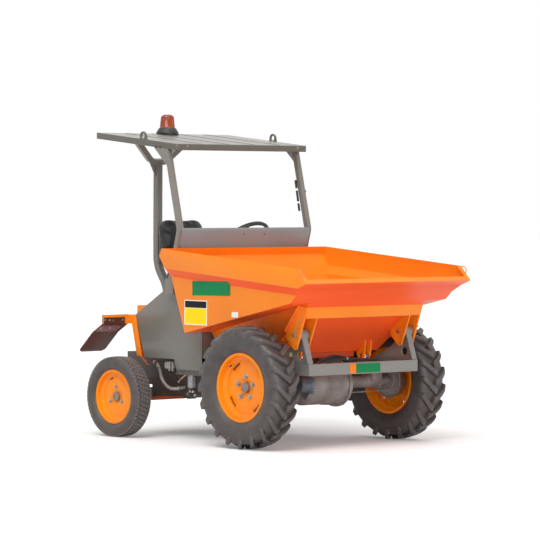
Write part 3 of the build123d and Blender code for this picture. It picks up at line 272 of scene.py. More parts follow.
def newFinish(name, base, other, rough, metal=0.0, coat=0.0, drift=3.0, grain=(300.0, 0.1),
              dust=(0.25, 9.0, 0.6), dustColour=(150, 140, 128), shine=0.5, facing=None, wear=None):
    # facing: direction, start, full and colour of the painted shade on the faces that look that way; then
    # amount and colour of the painted highlight on the proud edges
    plain = {"Metallic": metal, "Coat Weight": coat, "Coat Roughness": 0.12, "Specular IOR Level": shine}
    material, tree, surface = newMaterial(name, plain)
    paint = useGroup(tree, driftGroup, Base=shade(*base), Other=shade(*other), Scale=drift)
    if facing:
        # painted shade over the faces that look one way
        shadeMask = useGroup(tree, shadeGroup, Along=facing[0], Start=facing[1], Full=facing[2])
        paint = blendOf(tree, shadeMask, paint, shade(*facing[3]))
    # painted highlight: paler proud edges
    if wear:
        paint = blendOf(tree, useGroup(tree, glintGroup, Amount=wear[0]), paint, shade(*wear[1]))
    soil = useGroup(tree, dustGroup, Amount=dust[0], Scale=dust[1], Reach=dust[2])
    tree.links.new(blendOf(tree, soil, paint, shade(*dustColour)), surface["Base Color"])
    dull = spread(tree, soil, 0.0, 1.0, rough, min(1.0, rough + dulling))
    tree.links.new(dull, surface["Roughness"])
    tree.links.new(useGroup(tree, grainGroup, Scale=grain[0], Depth=grain[1]), surface["Normal"])
    return material


def newLens():
    plain = {"Roughness": 0.16, "Transmission Weight": 0.45, "IOR": 1.49}
    material, tree, surface = newMaterial("amberLens", plain)
    tone = useGroup(tree, driftGroup, Base=shade(188, 78, 6), Other=shade(146, 52, 4), Scale=22.0)
    tree.links.new(tone, surface["Base Color"])
    tree.links.new(useGroup(tree, grainGroup, Scale=160.0, Depth=0.15), surface["Normal"])
    return material


signPaint = dict(rough=0.36, shine=0.2, grain=(500.0, 0.03), dust=(0.05, 9.0, 0.6))
paints = {  # base and other are two tones of one colour; dust: amount, size, height it reaches
    # painted shade: faces that look down get a deeper, redder orange
    "skipOrange": dict(base=(250, 139, 26), other=(247, 132, 20), rough=0.4, grain=(420.0, 0.05), shine=0.3,
        facing=((0, 0, -1), 0.4, 0.62, (252, 92, 34)), dust=(0.06, 6.0, 0.9), dustColour=(215, 160, 110)),
    # darker orange; on the rib under the skip floor it is painted shade
    "darkOrange": dict(base=(196, 74, 26), other=(176, 62, 20), rough=0.45, grain=(420.0, 0.05), shine=0.3),
    "wheelOrange": dict(base=(252, 146, 2), other=(248, 132, 2), rough=0.32, coat=0.1, grain=(380.0, 0.07),
        shine=0.3, dust=(0.08, 14.0, 0.8), dustColour=(200, 140, 80)),
    # painted shade: faces that don't look up, the skirt and underside, are darker
    "roofGrey": dict(base=(146, 144, 138), other=(137, 135, 129), rough=0.38, coat=0.1, grain=(350.0, 0.08),
        facing=((0, 0, -1), -0.5, -0.3, (94, 89, 80)), dust=(0.05, 8.0, 0.8)),
    "frameGrey": dict(base=(128, 125, 118), other=(120, 117, 110), rough=0.4, coat=0.12, grain=(350.0, 0.08),
        dust=(0.08, 8.0, 0.8)),
    "shieldGrey": dict(base=(138, 152, 158), other=(130, 145, 151), rough=0.36, coat=0.1, grain=(350.0, 0.08),
        dust=(0.05, 8.0, 0.8)),
    "beamGrey": dict(base=(134, 132, 127), other=(126, 124, 119), rough=0.4, coat=0.12, grain=(350.0, 0.08),
        dust=(0.1, 8.0, 0.8)),
    "panelGrey": dict(base=(120, 116, 109), other=(113, 109, 102), rough=0.38, coat=0.15, grain=(350.0, 0.08),
        dust=(0.08, 8.0, 0.8)),
    "chassisBlack": dict(base=(76, 65, 56), other=(58, 49, 43), rough=0.5, drift=6.0, grain=(300.0, 0.2),
        dust=(0.22, 12.0, 0.8), dustColour=(112, 96, 84)),
    "tankGrey": dict(base=(104, 101, 97), other=(84, 81, 78), rough=0.44, drift=12.0, grain=(300.0, 0.2),
        dust=(0.15, 14.0, 0.8)),
    "bellBlue": dict(base=(98, 108, 116), other=(78, 86, 94), rough=0.34, metal=0.3, drift=14.0,
        grain=(260.0, 0.2), dust=(0.15, 18.0, 0.8)),
    "castGrey": dict(base=(152, 146, 142), other=(118, 111, 107), rough=0.46, metal=0.15, drift=9.0,
        grain=(240.0, 0.3), dust=(0.2, 18.0, 0.8), dustColour=(128, 112, 98)),
    "hubGrey": dict(base=(150, 132, 124), other=(118, 104, 98), rough=0.42, metal=0.35, drift=24.0,
        grain=(260.0, 0.3), dust=(0.2, 30.0, 0.8)),
    "ironBlack": dict(base=(46, 45, 44), other=(34, 33, 33), rough=0.55, drift=11.0, grain=(260.0, 0.3),
        dust=(0.3, 18.0, 0.9)),
    "satinBlack": dict(base=(34, 33, 33), other=(26, 26, 26), rough=0.4, grain=(400.0, 0.1)),
    "boltSteel": dict(base=(190, 180, 174), other=(160, 152, 146), rough=0.3, metal=0.85, drift=30.0,
        grain=(500.0, 0.15), dust=(0.15, 30.0, 0.8)),
    "boltDark": dict(base=(74, 70, 68), other=(54, 52, 50), rough=0.42, metal=0.5, drift=30.0,
        grain=(500.0, 0.2), dust=(0.15, 30.0, 0.8)),
    "rodChrome": dict(base=(214, 214, 214), other=(200, 200, 200), rough=0.1, metal=1.0, grain=(500.0, 0.02)),
    # painted highlight: the tyre's proud edges paler
    "tyreRubber": dict(base=(76, 70, 69), other=(61, 57, 56), rough=0.42, wear=(0.55, (132, 124, 122)),
        drift=14.0, grain=(320.0, 0.25), dust=(0.22, 22.0, 0.7), dustColour=(112, 98, 88)),
    "flapRubber": dict(base=(92, 46, 38), other=(76, 37, 31), rough=0.42, drift=7.0, grain=(300.0, 0.2)),
    "flapStrip": dict(base=(136, 86, 84), other=(120, 72, 70), rough=0.4, metal=0.3, drift=9.0,
        grain=(300.0, 0.15)),
    "hoseRubber": dict(base=(40, 37, 36), other=(30, 28, 28), rough=0.5, drift=20.0, grain=(420.0, 0.3)),
    "mouldedBlack": dict(base=(36, 35, 36), other=(29, 28, 29), rough=0.46, grain=(600.0, 0.3)),
    "mouldedWhite": dict(base=(226, 224, 214), other=(212, 209, 198), rough=0.4, grain=(500.0, 0.15),
        dust=(0.2, 20.0, 0.8)),
    "galvanised": dict(base=(168, 170, 172), other=(142, 144, 148), rough=0.38, metal=0.75, drift=40.0,
        grain=(300.0, 0.25), dust=(0.2, 26.0, 0.8)),
    "drainGrey": dict(base=(176, 166, 156), other=(156, 145, 136), rough=0.4, metal=0.2, drift=30.0,
        grain=(300.0, 0.2), dust=(0.2, 26.0, 0.8)),
    "copperPipe": dict(base=(226, 192, 172), other=(206, 160, 136), rough=0.3, metal=0.9, drift=30.0,
        grain=(400.0, 0.1), dust=(0.15, 26.0, 0.8)),
    "signGreen": dict(base=(0, 130, 74), other=(0, 121, 69), **signPaint),
    "signYellow": dict(base=(250, 218, 10), other=(244, 208, 8), **signPaint),
    "signOrange": dict(base=(250, 132, 24), other=(246, 124, 20), **signPaint),
    "tagPale": dict(base=(236, 224, 130), other=(226, 214, 120), rough=0.4, grain=(500.0, 0.03)),
    "signWhite": dict(base=(244, 242, 236), other=(234, 231, 224), **signPaint),
    "signBlack": dict(base=(17, 15, 15), other=(13, 12, 12), **signPaint),
    "seatVinyl": dict(base=(34, 32, 32), other=(26, 25, 25), rough=0.44, drift=12.0, grain=(700.0, 0.45)),
}

finishes = {name: newFinish(name, **facts) for name, facts in paints.items()}
finishes["amberLens"] = newLens()
print("finishes:", len(finishes))


# making pieces
def fromBmesh(name, bm, outward=True):
    if outward:
        bmesh.ops.recalc_face_normals(bm, faces=bm.faces)
    mesh = bpy.data.meshes.new(name)
    bm.to_mesh(mesh)
    bm.free()
    return link(bpy.data.objects.new(name, mesh))


def loft(name, bm, loops):
    # a skin over the loops of vertices, closed at both ends
    for a, b in zip(loops, loops[1:]):
        for i in range(len(a)):
            j = (i + 1) % len(a)
            bm.faces.new((a[i], a[j], b[j], b[i]))
    bm.faces.new(loops[0][::-1])
    bm.faces.new(loops[-1])
    return fromBmesh(name, bm)


def settle(piece):
    # its modifiers become plain mesh
    graph = bpy.context.evaluated_depsgraph_get()
    mesh = bpy.data.meshes.new_from_object(piece.evaluated_get(graph), depsgraph=graph)
    if piece.type != "MESH":
        name, old = piece.name, piece
        mesh.transform(piece.matrix_world)
        piece = link(bpy.data.objects.new("made", mesh))
        bpy.data.objects.remove(old)
        piece.name = name
    else:
        piece.modifiers.clear()
        piece.data = mesh
    return piece


def soften(piece, width, segments=2, limit=30):
    bevel = piece.modifiers.new("edges", "BEVEL")
    bevel.width, bevel.segments = width, segments
    bevel.limit_method, bevel.angle_limit = "ANGLE", radians(limit)
    bevel.harden_normals = False
    return settle(piece)


def place(piece, body, finish, slot, *nodes, crease=35):
    # nodes: those that the piece stands for
    piece.data.materials.clear()
    piece.data.materials.append(finishes[finish])
    piece.data.shade_smooth()
    piece.data.set_sharp_from_angle(angle=radians(crease))
    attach(piece, body)
    if nodes:
        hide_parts(*nodes)
    return piece


leftOut = {"tanks": -0.45}  # the bottle, behind this X, is made further down


def dressNode(node, name, finish, edge):
    # a copy of the node with its edges broken
    bm = bmesh.new()
    bm.from_mesh(frame["nodes"][node].data)
    bmesh.ops.remove_doubles(bm, verts=bm.verts, dist=1e-5)
    if node in leftOut:
        bmesh.ops.delete(bm, geom=[v for v in bm.verts if v.co.x < leftOut[node]], context="VERTS")
    bmesh.ops.dissolve_limit(bm, angle_limit=radians(0.8), verts=bm.verts, edges=bm.edges)
    piece = fromBmesh(name, bm, outward=False)
    if edge:
        piece = soften(piece, edge)
    return place(piece, bodyOf(node), finish, slotOf[node], node, crease=30)


dressed = {  # node: finish, edge
    "skip_shell": ("skipOrange", 0.0014),
    "skip_brackets": ("skipOrange", 0.0014),
    "pivot_pins": ("boltSteel", 0.002),
    "front_frame": ("beamGrey", 0.002),
    "drive_axle": ("castGrey", 0.003),
    "chassis": ("chassisBlack", 0.0014),
    "rear_axle": ("castGrey", 0.003),
    "tie_rod": ("boltSteel", 0.0015),
    "engine": ("ironBlack", 0.006),
    "transmission": ("ironBlack", 0.006),
    "tanks": ("tankGrey", 0.003),
    "engine_cover": ("skipOrange", 0.0015),
    "rear_wings": ("skipOrange", 0.0014),
    "bulkhead": ("frameGrey", 0.0014),
    "mudflaps": ("flapRubber", 0.0018),
    "rops_frame": ("frameGrey", 0.003),
    "roof": ("roofGrey", 0.0014),
    "rear_post": ("frameGrey", 0.004),
    "beacon_base": ("mouldedBlack", 0.003),
    "seat_base": ("satinBlack", 0.004),
    "steering_column": ("satinBlack", 0.002),
    "steering_wheel": ("mouldedBlack", 0),
    "control_levers": ("satinBlack", 0.001),
    "tow_hitch": ("satinBlack", 0.002),
    "tip_barrel": ("satinBlack", 0.0015),
    "tip_rod": ("rodChrome", 0.001),
}
dressedPairs = {  # the same, for a node on each side
    "front_rim": ("wheelOrange", 0.0012),
    "rear_rim": ("wheelOrange", 0.0012),
    "front_hub": ("hubGrey", 0.002),
    "rear_hub": ("hubGrey", 0.002),
    "knuckle": ("castGrey", 0.003),
    "side_panel": ("panelGrey", 0.0014),
}
dressed |= {node + "_" + label.lower(): facts for node, facts in dressedPairs.items() for side, label in sides}
renamed = {"chassis": "chassisFrame", "engine": "engineBlock", "tip_barrel": "tipBarrels", "tip_rod": "tipRods"}
patches = {  # node: lowest corner, highest corner, finish of the faces whose middle is between them
    "drive_axle": [((0.54, -0.31, 0.34), (0.67, -0.21, 0.47), "bellBlue")],
    "tanks": [((-0.26, -0.52, 0.34), (-0.19, -0.45, 0.452), "galvanised")],
    "rops_frame": [((-0.5, -0.5, 0.98), (-0.2, 0.5, 1.45), "shieldGrey")],
}


def camel(node):
    first, *rest = node.split("_")
    return first + "".join(word.capitalize() for word in rest)


def patch(piece, rows):
    for low, high, finish in rows:
        piece.data.materials.append(finishes[finish])
        for face in piece.data.polygons:
            if all(a <= c <= b for a, c, b in zip(low, face.center, high)):
                face.material_index = len(piece.data.materials) - 1


for node, (finish, edge) in dressed.items():
    patch(dressNode(node, renamed.get(node, camel(node)), finish, edge), patches.get(node, ()))
print("nodes dressed:", len(dressed))


# geometry nodes trees
def socketId(tree, label):
    return next(item.identifier for item in tree.interface.items_tree if item.name == label
                and item.in_out == "INPUT")


def newTree(name, inputs):
    tree = bpy.data.node_groups.new(name, "GeometryNodeTree")
    for label, kind in [("Geometry", "Geometry")] + inputs:
        tree.interface.new_socket(name=label, in_out="INPUT", socket_type="NodeSocket" + kind)
    tree.interface.new_socket(name="Geometry", in_out="OUTPUT", socket_type="NodeSocketGeometry")
    return tree, add(tree, "NodeGroupInput").outputs


def copyTo(tree, given, points, piece, turns):
    # the end of both trees: the piece at every point, made real, in the given finish
    feeds = {"Points": points, "Instance": piece, "Rotation": turns}
    copies = add(tree, "GeometryNodeInstanceOnPoints", feeds)
    real = add(tree, "GeometryNodeRealizeInstances", {0: copies.outputs[0]})
    finish = add(tree, "GeometryNodeSetMaterial", {"Geometry": real.outputs[0], "Material": given["Finish"]})
    add(tree, "NodeGroupOutput", {0: finish.outputs[0]})
    return tree


def makeRingTree():
    # repeats the piece round an axle that lies along Y
    tree, given = newTree("roundAxle", [("Count", "Int"), ("Centre", "Vector"), ("Finish", "Material")])
    away = add(tree, "ShaderNodeVectorMath", {0: given["Centre"], "Scale": -1.0}, operation="SCALE")
    home = add(tree, "GeometryNodeTransform", {"Geometry": given["Geometry"], "Translation": away.outputs[0]})
    spots = add(tree, "GeometryNodeMeshLine", {"Offset": (0, 0, 0), "Count": given["Count"],
                                               "Start Location": given["Centre"]})
    share = maths(tree, "DIVIDE", add(tree, "GeometryNodeInputIndex").outputs[0], given["Count"])
    turn = add(tree, "ShaderNodeCombineXYZ", {"Y": maths(tree, "MULTIPLY", share, 2 * pi)})
    return copyTo(tree, given, spots.outputs[0], home.outputs[0], turn.outputs[0])


# a nut, its washer and the bolt's end: sides, and radius, height and middle as shares of the size
boltHead = [(6, 0.5, 0.42, 0.31), (14, 0.68, 0.1, 0.05), (10, 0.26, 0.24, 0.62)]


def makeBoltTree():
    # a bolt head at every point, turned the way the point's facing says
    tree, given = newTree("boltHeads", [("Size", "Float"), ("Finish", "Material")])
    facing = add(tree, "GeometryNodeInputNamedAttribute", {"Name": "facing"}, data_type="FLOAT_VECTOR")
    align = add(tree, "FunctionNodeAlignRotationToVector", {"Vector": facing.outputs["Attribute"]}, axis="Z")
    joined = add(tree, "GeometryNodeJoinGeometry")
    for corners, *shares in boltHead:
        radius, height, rise = (maths(tree, "MULTIPLY", given["Size"], share) for share in shares)
        head = add(tree, "GeometryNodeMeshCylinder", {"Vertices": corners, "Radius": radius, "Depth": height})
        lift = add(tree, "ShaderNodeCombineXYZ", {"Z": rise})
        moved = add(tree, "GeometryNodeTransform", {"Geometry": head.outputs["Mesh"],
                                                    "Translation": lift.outputs[0]})
        tree.links.new(moved.outputs[0], joined.inputs[0])
    return copyTo(tree, given, given["Geometry"], joined.outputs[0], align.outputs[0])


ringTree, boltTree = makeRingTree(), makeBoltTree()


def grow(piece, tree, **values):
    modifier = piece.modifiers.new("grown", "NODES")
    modifier.node_group = tree
    for label, value in values.items():
        modifier[socketId(tree, label)] = value
    return settle(piece)


def ring(piece, centre, count, finish):
    # the piece repeated round an axle
    return grow(piece, ringTree, Count=count, Centre=tuple(centre), Finish=finishes[finish])


def bolts(name, body, size, rows, finish="boltSteel", slot="steel"):
    # rows: place, facing
    mesh = bpy.data.meshes.new(name)
    mesh.from_pydata([row[0] for row in rows], [], [])
    facing = mesh.attributes.new("facing", "FLOAT_VECTOR", "POINT")
    for i, row in enumerate(rows):
        facing.data[i].vector = row[1]
    piece = grow(link(bpy.data.objects.new(name, mesh)), boltTree, Size=size, Finish=finishes[finish])
    return place(piece, body, finish, slot, crease=25)


def join(name, pieces):
    # one piece in place of several
    bm = bmesh.new()
    for piece in pieces:
        bm.from_mesh(piece.data)
        bpy.data.objects.remove(piece)
    return fromBmesh(name, bm, outward=False)


def turned(name, profile, centre, steps):
    # a ring turned about an axle along Y; profile: across, radius
    bm = bmesh.new()
    loop = [bm.verts.new((centre[0], centre[1] + y, centre[2] + r)) for y, r in profile]
    edges = [bm.edges.new(pair) for pair in zip(loop, loop[1:] + loop[:1])]
    bmesh.ops.spin(bm, geom=loop + edges, cent=centre, axis=(0, 1, 0), dvec=(0, 0, 0), angle=2 * pi,
                   steps=steps)
    bmesh.ops.remove_doubles(bm, verts=bm.verts, dist=1e-5)
    return fromBmesh(name, bm)


def tube(name, points, radius, body, finish, slot):
    data = bpy.data.curves.new(name, "CURVE")
    data.dimensions = "3D"
    data.bevel_depth, data.bevel_resolution, data.resolution_u = radius, 3, 8
    data.use_fill_caps = True
    line = data.splines.new("NURBS")
    line.points.add(len(points) - 1)
    for spot, point in zip(line.points, points):
        spot.co = (*point, 1.0)
    line.order_u, line.use_endpoint_u = 3, True
    piece = settle(link(bpy.data.objects.new(name, data)))
    return place(piece, body, finish, slot, crease=40)


# front tyres: traction lugs in a V; half sections in millimetres: across, radius
frontTyre = {
    "lugs": 20, "round": 0.0025, "outer": 400, "flank": 5,
    "carcass": [(0, 374), (40, 374), (72, 370), (90, 360), (99, 344), (102.3, 322), (102.5, 298), (99, 272),
                (92, 252), (83, 240), (76, 231), (72.5, 227.5), (69, 226.6), (69, 213.3)],
    "inside": [(62, 213.3), (62, 226), (70, 250), (88, 280), (88, 330), (70, 356), (0, 362)],
    # a lug's sections: across at the top and at the foot, trail in radians, radius at both, half its width
    "lug": [(-7, -7, 0.0, 399.5, 369, 19), (14, 14, 0.03, 399.8, 369, 19), (36, 36, 0.068, 399.2, 369, 19),
            (58, 58, 0.115, 397.5, 366.75, 18.5), (76, 76, 0.162, 394, 362.778, 18),
            (90, 90, 0.2, 389, 355, 18), (98.5, 94, 0.222, 381, 339.889, 18), (104.5, 94, 0.234, 366, 357, 16),
            (104.5, 94, 0.239, 346, 337, 12), (104.5, 94, 0.242, 330, 321, 8)],
}


def tyreBody(name, facts, centre):
    # the casing: its half section, mirrored and turned
    half = facts["carcass"] + facts["inside"]
    profile = [(y / 1000, r / 1000) for y, r in half] + [(-y / 1000, r / 1000) for y, r in half[-2:0:-1]]
    return turned(name, profile, centre, 96)


def finishTyre(name, node, pieces):
    place(join(name, pieces), bodyOf(node), "tyreRubber", "tyre", node, crease=32)


def onTyre(centre, y, radius, angle):
    return Vector((centre.x + radius * sin(angle), centre.y + y, centre.z + radius * cos(angle)))


def makeLug(name, centre, side, phase):
    bm = bmesh.new()
    sections = []
    for across, inside, trail, top, foot, half in frontTyre["lug"]:
        crest, flank = (wide / frontTyre["outer"] for wide in (half, half + frontTyre["flank"]))
        spots = ((inside, foot, -flank), (across, top, -crest), (across, top, crest), (inside, foot, flank))
        sections.append([bm.verts.new(onTyre(centre, side * y / 1000, r / 1000, phase - trail + turn))
                         for y, r, turn in spots])
    return loft(name, bm, sections)


def makeFrontTyre(label):
    node = "front_tyre_" + label.lower()
    centre = middle(node)
    pitch = 2 * pi / frontTyre["lugs"]
    grown = [tyreBody(node + "Body", frontTyre, centre)]
    for hand in (1, -1):
        lug = makeLug(node + "Lug", centre, hand, 0 if hand > 0 else pitch / 2)
        lug = soften(lug, frontTyre["round"], 2, 40)
        grown.append(ring(lug, centre, frontTyre["lugs"], "tyreRubber"))
    finishTyre("frontTyre" + label, node, grown)


# rear tyres: ribbed road tread
rearTyre = {
    "pitches": 56, "round": 0.0012, "crown": 273, "camber": 0.0012, "depth": 12, "skew": 0.006,
    "carcass": [(0, 265), (50, 264), (60, 260), (66, 250), (69.5, 235), (69.5, 218), (66, 202), (59, 193),
                (53, 187), (50, 185.5), (45.8, 184.5), (45.8, 171)],
    "inside": [(40, 171), (40, 184), (56, 215), (54, 246), (0, 255)],
    # across, half its width, phase as a share of the pitch
    "ribs": [(0, 11, 0.0), (23, 9.5, 0.3), (-23, 9.5, 0.7), (47, 9.5, 0.5), (-47, 9.5, 0.2)],
    "block": [(-1, 0.06), (1, 0.06), (1, 0.92), (-1, 0.92)],  # edge of the rib, share of the pitch
}


def makeRearTyre(label):
    node = "rear_tyre_" + label.lower()
    centre = middle(node)
    grown = [tyreBody(node + "Body", rearTyre, centre)]
    step = 2 * pi / rearTyre["pitches"]
    for y, half, phase in rearTyre["ribs"]:
        crown = rearTyre["crown"] - rearTyre["camber"] * y * y
        skew = rearTyre["skew"] if y >= 0 else -rearTyre["skew"]
        bm = bmesh.new()
        loops = [[bm.verts.new(onTyre(centre, (y + edge * half) / 1000, r / 1000,
                                      (phase + start) * step + skew * edge))
                  for edge, start in rearTyre["block"]] for r in (crown - rearTyre["depth"], crown)]
        block = soften(loft(node + "Block", bm, loops), rearTyre["round"], 1, 40)
        grown.append(ring(block, centre, rearTyre["pitches"], "tyreRubber"))
    finishTyre("rearTyre" + label, node, grown)


for side, label in sides:
    makeFrontTyre(label)
    makeRearTyre(label)
print("tyres ready")


# wheel fittings
wheelFittings = {  # from the wheel's middle, in metres; the valve leans round the wheel by these degrees
    "front": {"nuts": 5, "circle": 0.0745, "size": 0.028, "face": 0.0222, "valve": 0.186, "valveIn": 0.020,
              "valveOut": 0.050, "lean": -44},
    "rear": {"nuts": 3, "circle": 0.0675, "size": 0.021, "face": 0.0197, "valve": 0.128, "valveIn": 0.005,
             "valveOut": 0.036, "lean": -22},
}
valve = {"radius": 0.0042, "bend": 0.012, "taper": 0.004}


def circleOf(count, radius, centre, y, facing, start=0.0):
    # places on a circle round an axle along Y, each with the way it faces
    turns = [2 * pi * (i + start) / count for i in range(count)]
    return [((centre.x + radius * sin(turn), y, centre.z + radius * cos(turn)), (0, facing, 0))
            for turn in turns]


def makeWheelFittings(axle, side, label):
    facts = wheelFittings[axle]
    body = bodyOf(axle + "_rim_" + label.lower())
    centre = middle(axle + "_tyre_" + label.lower())
    nuts = circleOf(facts["nuts"], facts["circle"], centre, centre.y + side * facts["face"], side)
    bolts(axle + "Nuts" + label, body, facts["size"], nuts)
    lean = radians(facts["lean"])
    bends = ((facts["valve"] + valve["bend"], facts["valveIn"]),
             (facts["valve"], facts["valveIn"] + valve["bend"]),
             (facts["valve"] - valve["taper"], facts["valveOut"]))
    stem = [(centre.x + r * sin(lean), centre.y + side * y, centre.z + r * cos(lean)) for r, y in bends]
    tube(axle + "Valve" + label, stem, valve["radius"], body, "mouldedBlack", "rubber")


for side, label in sides:
    for axle in ("front", "rear"):
        makeWheelFittings(axle, side, label)
print("wheel fittings ready")


# flat things: signs, labels, strips and straps
def slab(name, corners, out, thick, body, finish, slot, edge=0.0006):
    # a thin plate on its corners, raised along out
    bm = bmesh.new()
    lift = Vector(out).normalized() * thick
    low = [bm.verts.new(corner) for corner in corners]
    high = [bm.verts.new(Vector(corner) + lift) for corner in corners]
    return place(soften(loft(name, bm, [low, high]), edge, 1), body, finish, slot, crease=30)


def upright(y, rear, front, low, high):
    # the corners of a rectangle that faces sideways
    return [(rear, y, low), (front, y, low), (front, y, high), (rear, y, high)]


skipSide = -0.715
signEdge = 0.0003
signs = {  # on the near side of the skip: rear, front, bottom, top, finish, height over the plate
    "loadPlateBase": (-0.0445, 0.1775, 0.7895, 0.953, "signWhite", 0.0010),
    "loadPlateBand": (-0.0385, 0.1715, 0.903, 0.947, "signBlack", 0.0016),
    "loadPlateField": (-0.0385, 0.1715, 0.7955, 0.900, "signYellow", 0.0016),
    "smallLabel": (0.418, 0.478, 0.8515, 0.8865, "signWhite", 0.0012),
}
sideSign = {"rear": 0.034, "front": 0.402, "bottom": 0.9845, "top": 1.0785, "rise": 0.006, "gap": 0.0014,
            "thick": 0.0010, "columns": 24, "rows": 10,
            "foldX": 0.4253, "foldZ": 1.056, "foldFall": 0.0785, "foldLean": 0.808}
beamSigns = {"bottom": 0.490, "top": 0.551, "thick": 0.0012,
             "fields": {"beamSignEnd": (-0.131, -0.076, "signOrange"),
                        "beamSign": (-0.076, 0.148, "signGreen")}}


def makeSideSign():
    # the long sign's upper front corner lies over the fold under the rail
    facts = sideSign
    columns, rows = facts["columns"], facts["rows"]
    bm = bmesh.new()
    grid = []
    for i in range(columns + 1):
        x = facts["rear"] + (facts["front"] - facts["rear"]) * i / columns
        fold = facts["foldZ"] + facts["foldFall"] * (facts["foldX"] - x)
        line = []
        for j in range(rows + 1):
            z = facts["bottom"] + (facts["top"] - facts["bottom"]) * j / rows + facts["rise"] * i / columns
            y = skipSide - facts["foldLean"] * max(0.0, z - fold) - facts["gap"]
            line.append(bm.verts.new((x, y, z)))
        grid.append(line)
    for a, b in zip(grid, grid[1:]):
        for j in range(rows):
            bm.faces.new((a[j], b[j], b[j + 1], a[j + 1]))
    sign = fromBmesh("sideSign", bm, outward=False)
    sheet = sign.modifiers.new("sheet", "SOLIDIFY")
    sheet.thickness, sheet.offset = facts["thick"], 1.0
    place(settle(sign), bodyOf("skip_shell"), "signGreen", "skip_paint", crease=30)


def makeSigns():
    makeSideSign()
    for name, (rear, front, low, high, finish, thick) in signs.items():
        slab(name, upright(skipSide, rear, front, low, high), (0, -1, 0), thick, bodyOf("skip_shell"), finish,
             "skip_paint", signEdge)
    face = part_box("front_frame")[1].x
    low, high = beamSigns["bottom"], beamSigns["top"]
    for name, (right, left, finish) in beamSigns["fields"].items():
        corners = [(face, right, low), (face, left, low), (face, left, high), (face, right, high)]
        slab(name, corners, (1, 0, 0), beamSigns["thick"], bodyOf("front_frame"), finish, "frame_paint",
             signEdge)


makeSigns()
print("signs ready")


# what hangs under the right side panel
underLines = {  # radius, finish, slot, points
    "drainHose": (0.0115, "drainGrey", "steel", [
        (-0.655, -0.43, 0.504), (-0.630, -0.43, 0.490), (-0.610, -0.43, 0.445), (-0.596, -0.43, 0.400),
        (-0.560, -0.43, 0.360), (-0.518, -0.43, 0.336), (-0.478, -0.425, 0.332), (-0.448, -0.405, 0.336),
        (-0.430, -0.362, 0.344)]),
    "returnPipe": (0.0052, "copperPipe", "steel", [
        (-0.405, -0.445, 0.384), (-0.375, -0.45, 0.406), (-0.335, -0.45, 0.430), (-0.290, -0.45, 0.458)]),
    "suctionHose": (0.008, "hoseRubber", "rubber", [
        (-0.235, -0.486, 0.352), (-0.238, -0.486, 0.322), (-0.262, -0.474, 0.306), (-0.300, -0.452, 0.312),
        (-0.330, -0.42, 0.322), (-0.352, -0.362, 0.325)]),
    "pressureHose": (0.007, "hoseRubber", "rubber", [
        (-0.212, -0.486, 0.352), (-0.205, -0.49, 0.316), (-0.180, -0.48, 0.300), (-0.130, -0.45, 0.300),
        (-0.060, -0.40, 0.315), (-0.030, -0.358, 0.330)]),
}
ringRound = 0.12  # a ring's rounded edge as a share of its width
underRings = {  # centre, along, radius, width, finish
    "drainHoseClamp": ((-0.449, -0.406, 0.336), (1, 0.5, 0), 0.0150, 0.010, "boltSteel"),
    "drainHoseCuff": ((-0.655, -0.432, 0.505), (1, 0, 0.1), 0.0150, 0.030, "boltSteel"),
    "drainHoseElbow": ((-0.624, -0.432, 0.482), (0.5, 0, -1), 0.0145, 0.022, "boltSteel"),
    "returnPipeEnd": ((-0.402, -0.446, 0.386), (0.8, 0, 0.6), 0.0085, 0.012, "boltSteel"),
    "filterCap": ((-0.2235, -0.486, 0.447), (0, 0, 1), 0.0315, 0.012, "ironBlack"),
    "filterFoot": ((-0.2235, -0.486, 0.346), (0, 0, 1), 0.0215, 0.014, "ironBlack"),
    "suctionNut": ((-0.2385, -0.485, 0.330), (0.1, 0, 1), 0.0125, 0.014, "boltSteel"),
    "suctionElbow": ((-0.290, -0.457, 0.309), (1, -0.4, 0), 0.0120, 0.016, "boltSteel"),
    "pressureNut": ((-0.207, -0.489, 0.328), (-0.2, 0, 1), 0.0115, 0.014, "boltSteel"),
    "pressureElbow": ((-0.190, -0.485, 0.303), (1, 0, -0.4), 0.0110, 0.016, "boltSteel"),
}
bottle = {"rear": -0.575, "front": -0.529, "bottom": 0.465, "top": 0.512, "back": -0.360, "depth": 0.07,
          "round": 0.009, "strapsAt": (-0.5164, -0.4848), "strapHalf": 0.007, "strapFace": -0.430,
          "strapBottom": 0.452, "strapThick": 0.002}
belly = {  # in the chassis side's plane; X, Z
    "plate": [(-0.772, 0.2505), (-0.66, 0.262), (-0.66, 0.40), (-0.81, 0.40), (-0.81, 0.346), (-0.772, 0.346)],
    "edge": [(-0.780, 0.2475), (-0.455, 0.2660), (-0.455, 0.2825), (-0.780, 0.2640)],
    "bolts": [(-0.5857, 0.4254), (-0.5221, 0.4309), (-0.4923, 0.4072)],
    "plateFace": 0.3605, "face": 0.36, "thick": 0.004, "round": 0.0004, "bolt": 0.012,
}


def layLines(lines, body):
    for name, (radius, finish, slot, points) in lines.items():
        tube(name, points, radius, body, finish, slot)


def clampRing(name, body, centre, axis, radius, wide, finish, slot="steel"):
    # a worm clamp, a union nut, a cap or a knob
    bm = bmesh.new()
    turn = Vector(axis).to_track_quat("Z", "Y").to_matrix().to_4x4()
    bmesh.ops.create_cone(bm, cap_ends=True, segments=18, radius1=radius, radius2=radius, depth=wide,
                          matrix=Matrix.Translation(centre) @ turn)
    return place(soften(fromBmesh(name, bm), wide * ringRound, 2, 40), body, finish, slot)


def layRings(rings, body):
    for name, facts in rings.items():
        clampRing(name, body, *facts)


def makeBottle(body):
    facts = bottle
    for i, x in enumerate(facts["strapsAt"]):
        corners = upright(facts["strapFace"], x - facts["strapHalf"], x + facts["strapHalf"],
                          facts["strapBottom"], facts["top"])
        slab("bottleStrap%d" % (i + 1), corners, (0, -1, 0), facts["strapThick"], body, "mouldedWhite", "steel")
    corners = upright(facts["back"], facts["rear"], facts["front"], facts["bottom"], facts["top"])
    slab("bottle", corners, (0, -1, 0), facts["depth"], body, "mouldedWhite", "steel", facts["round"])


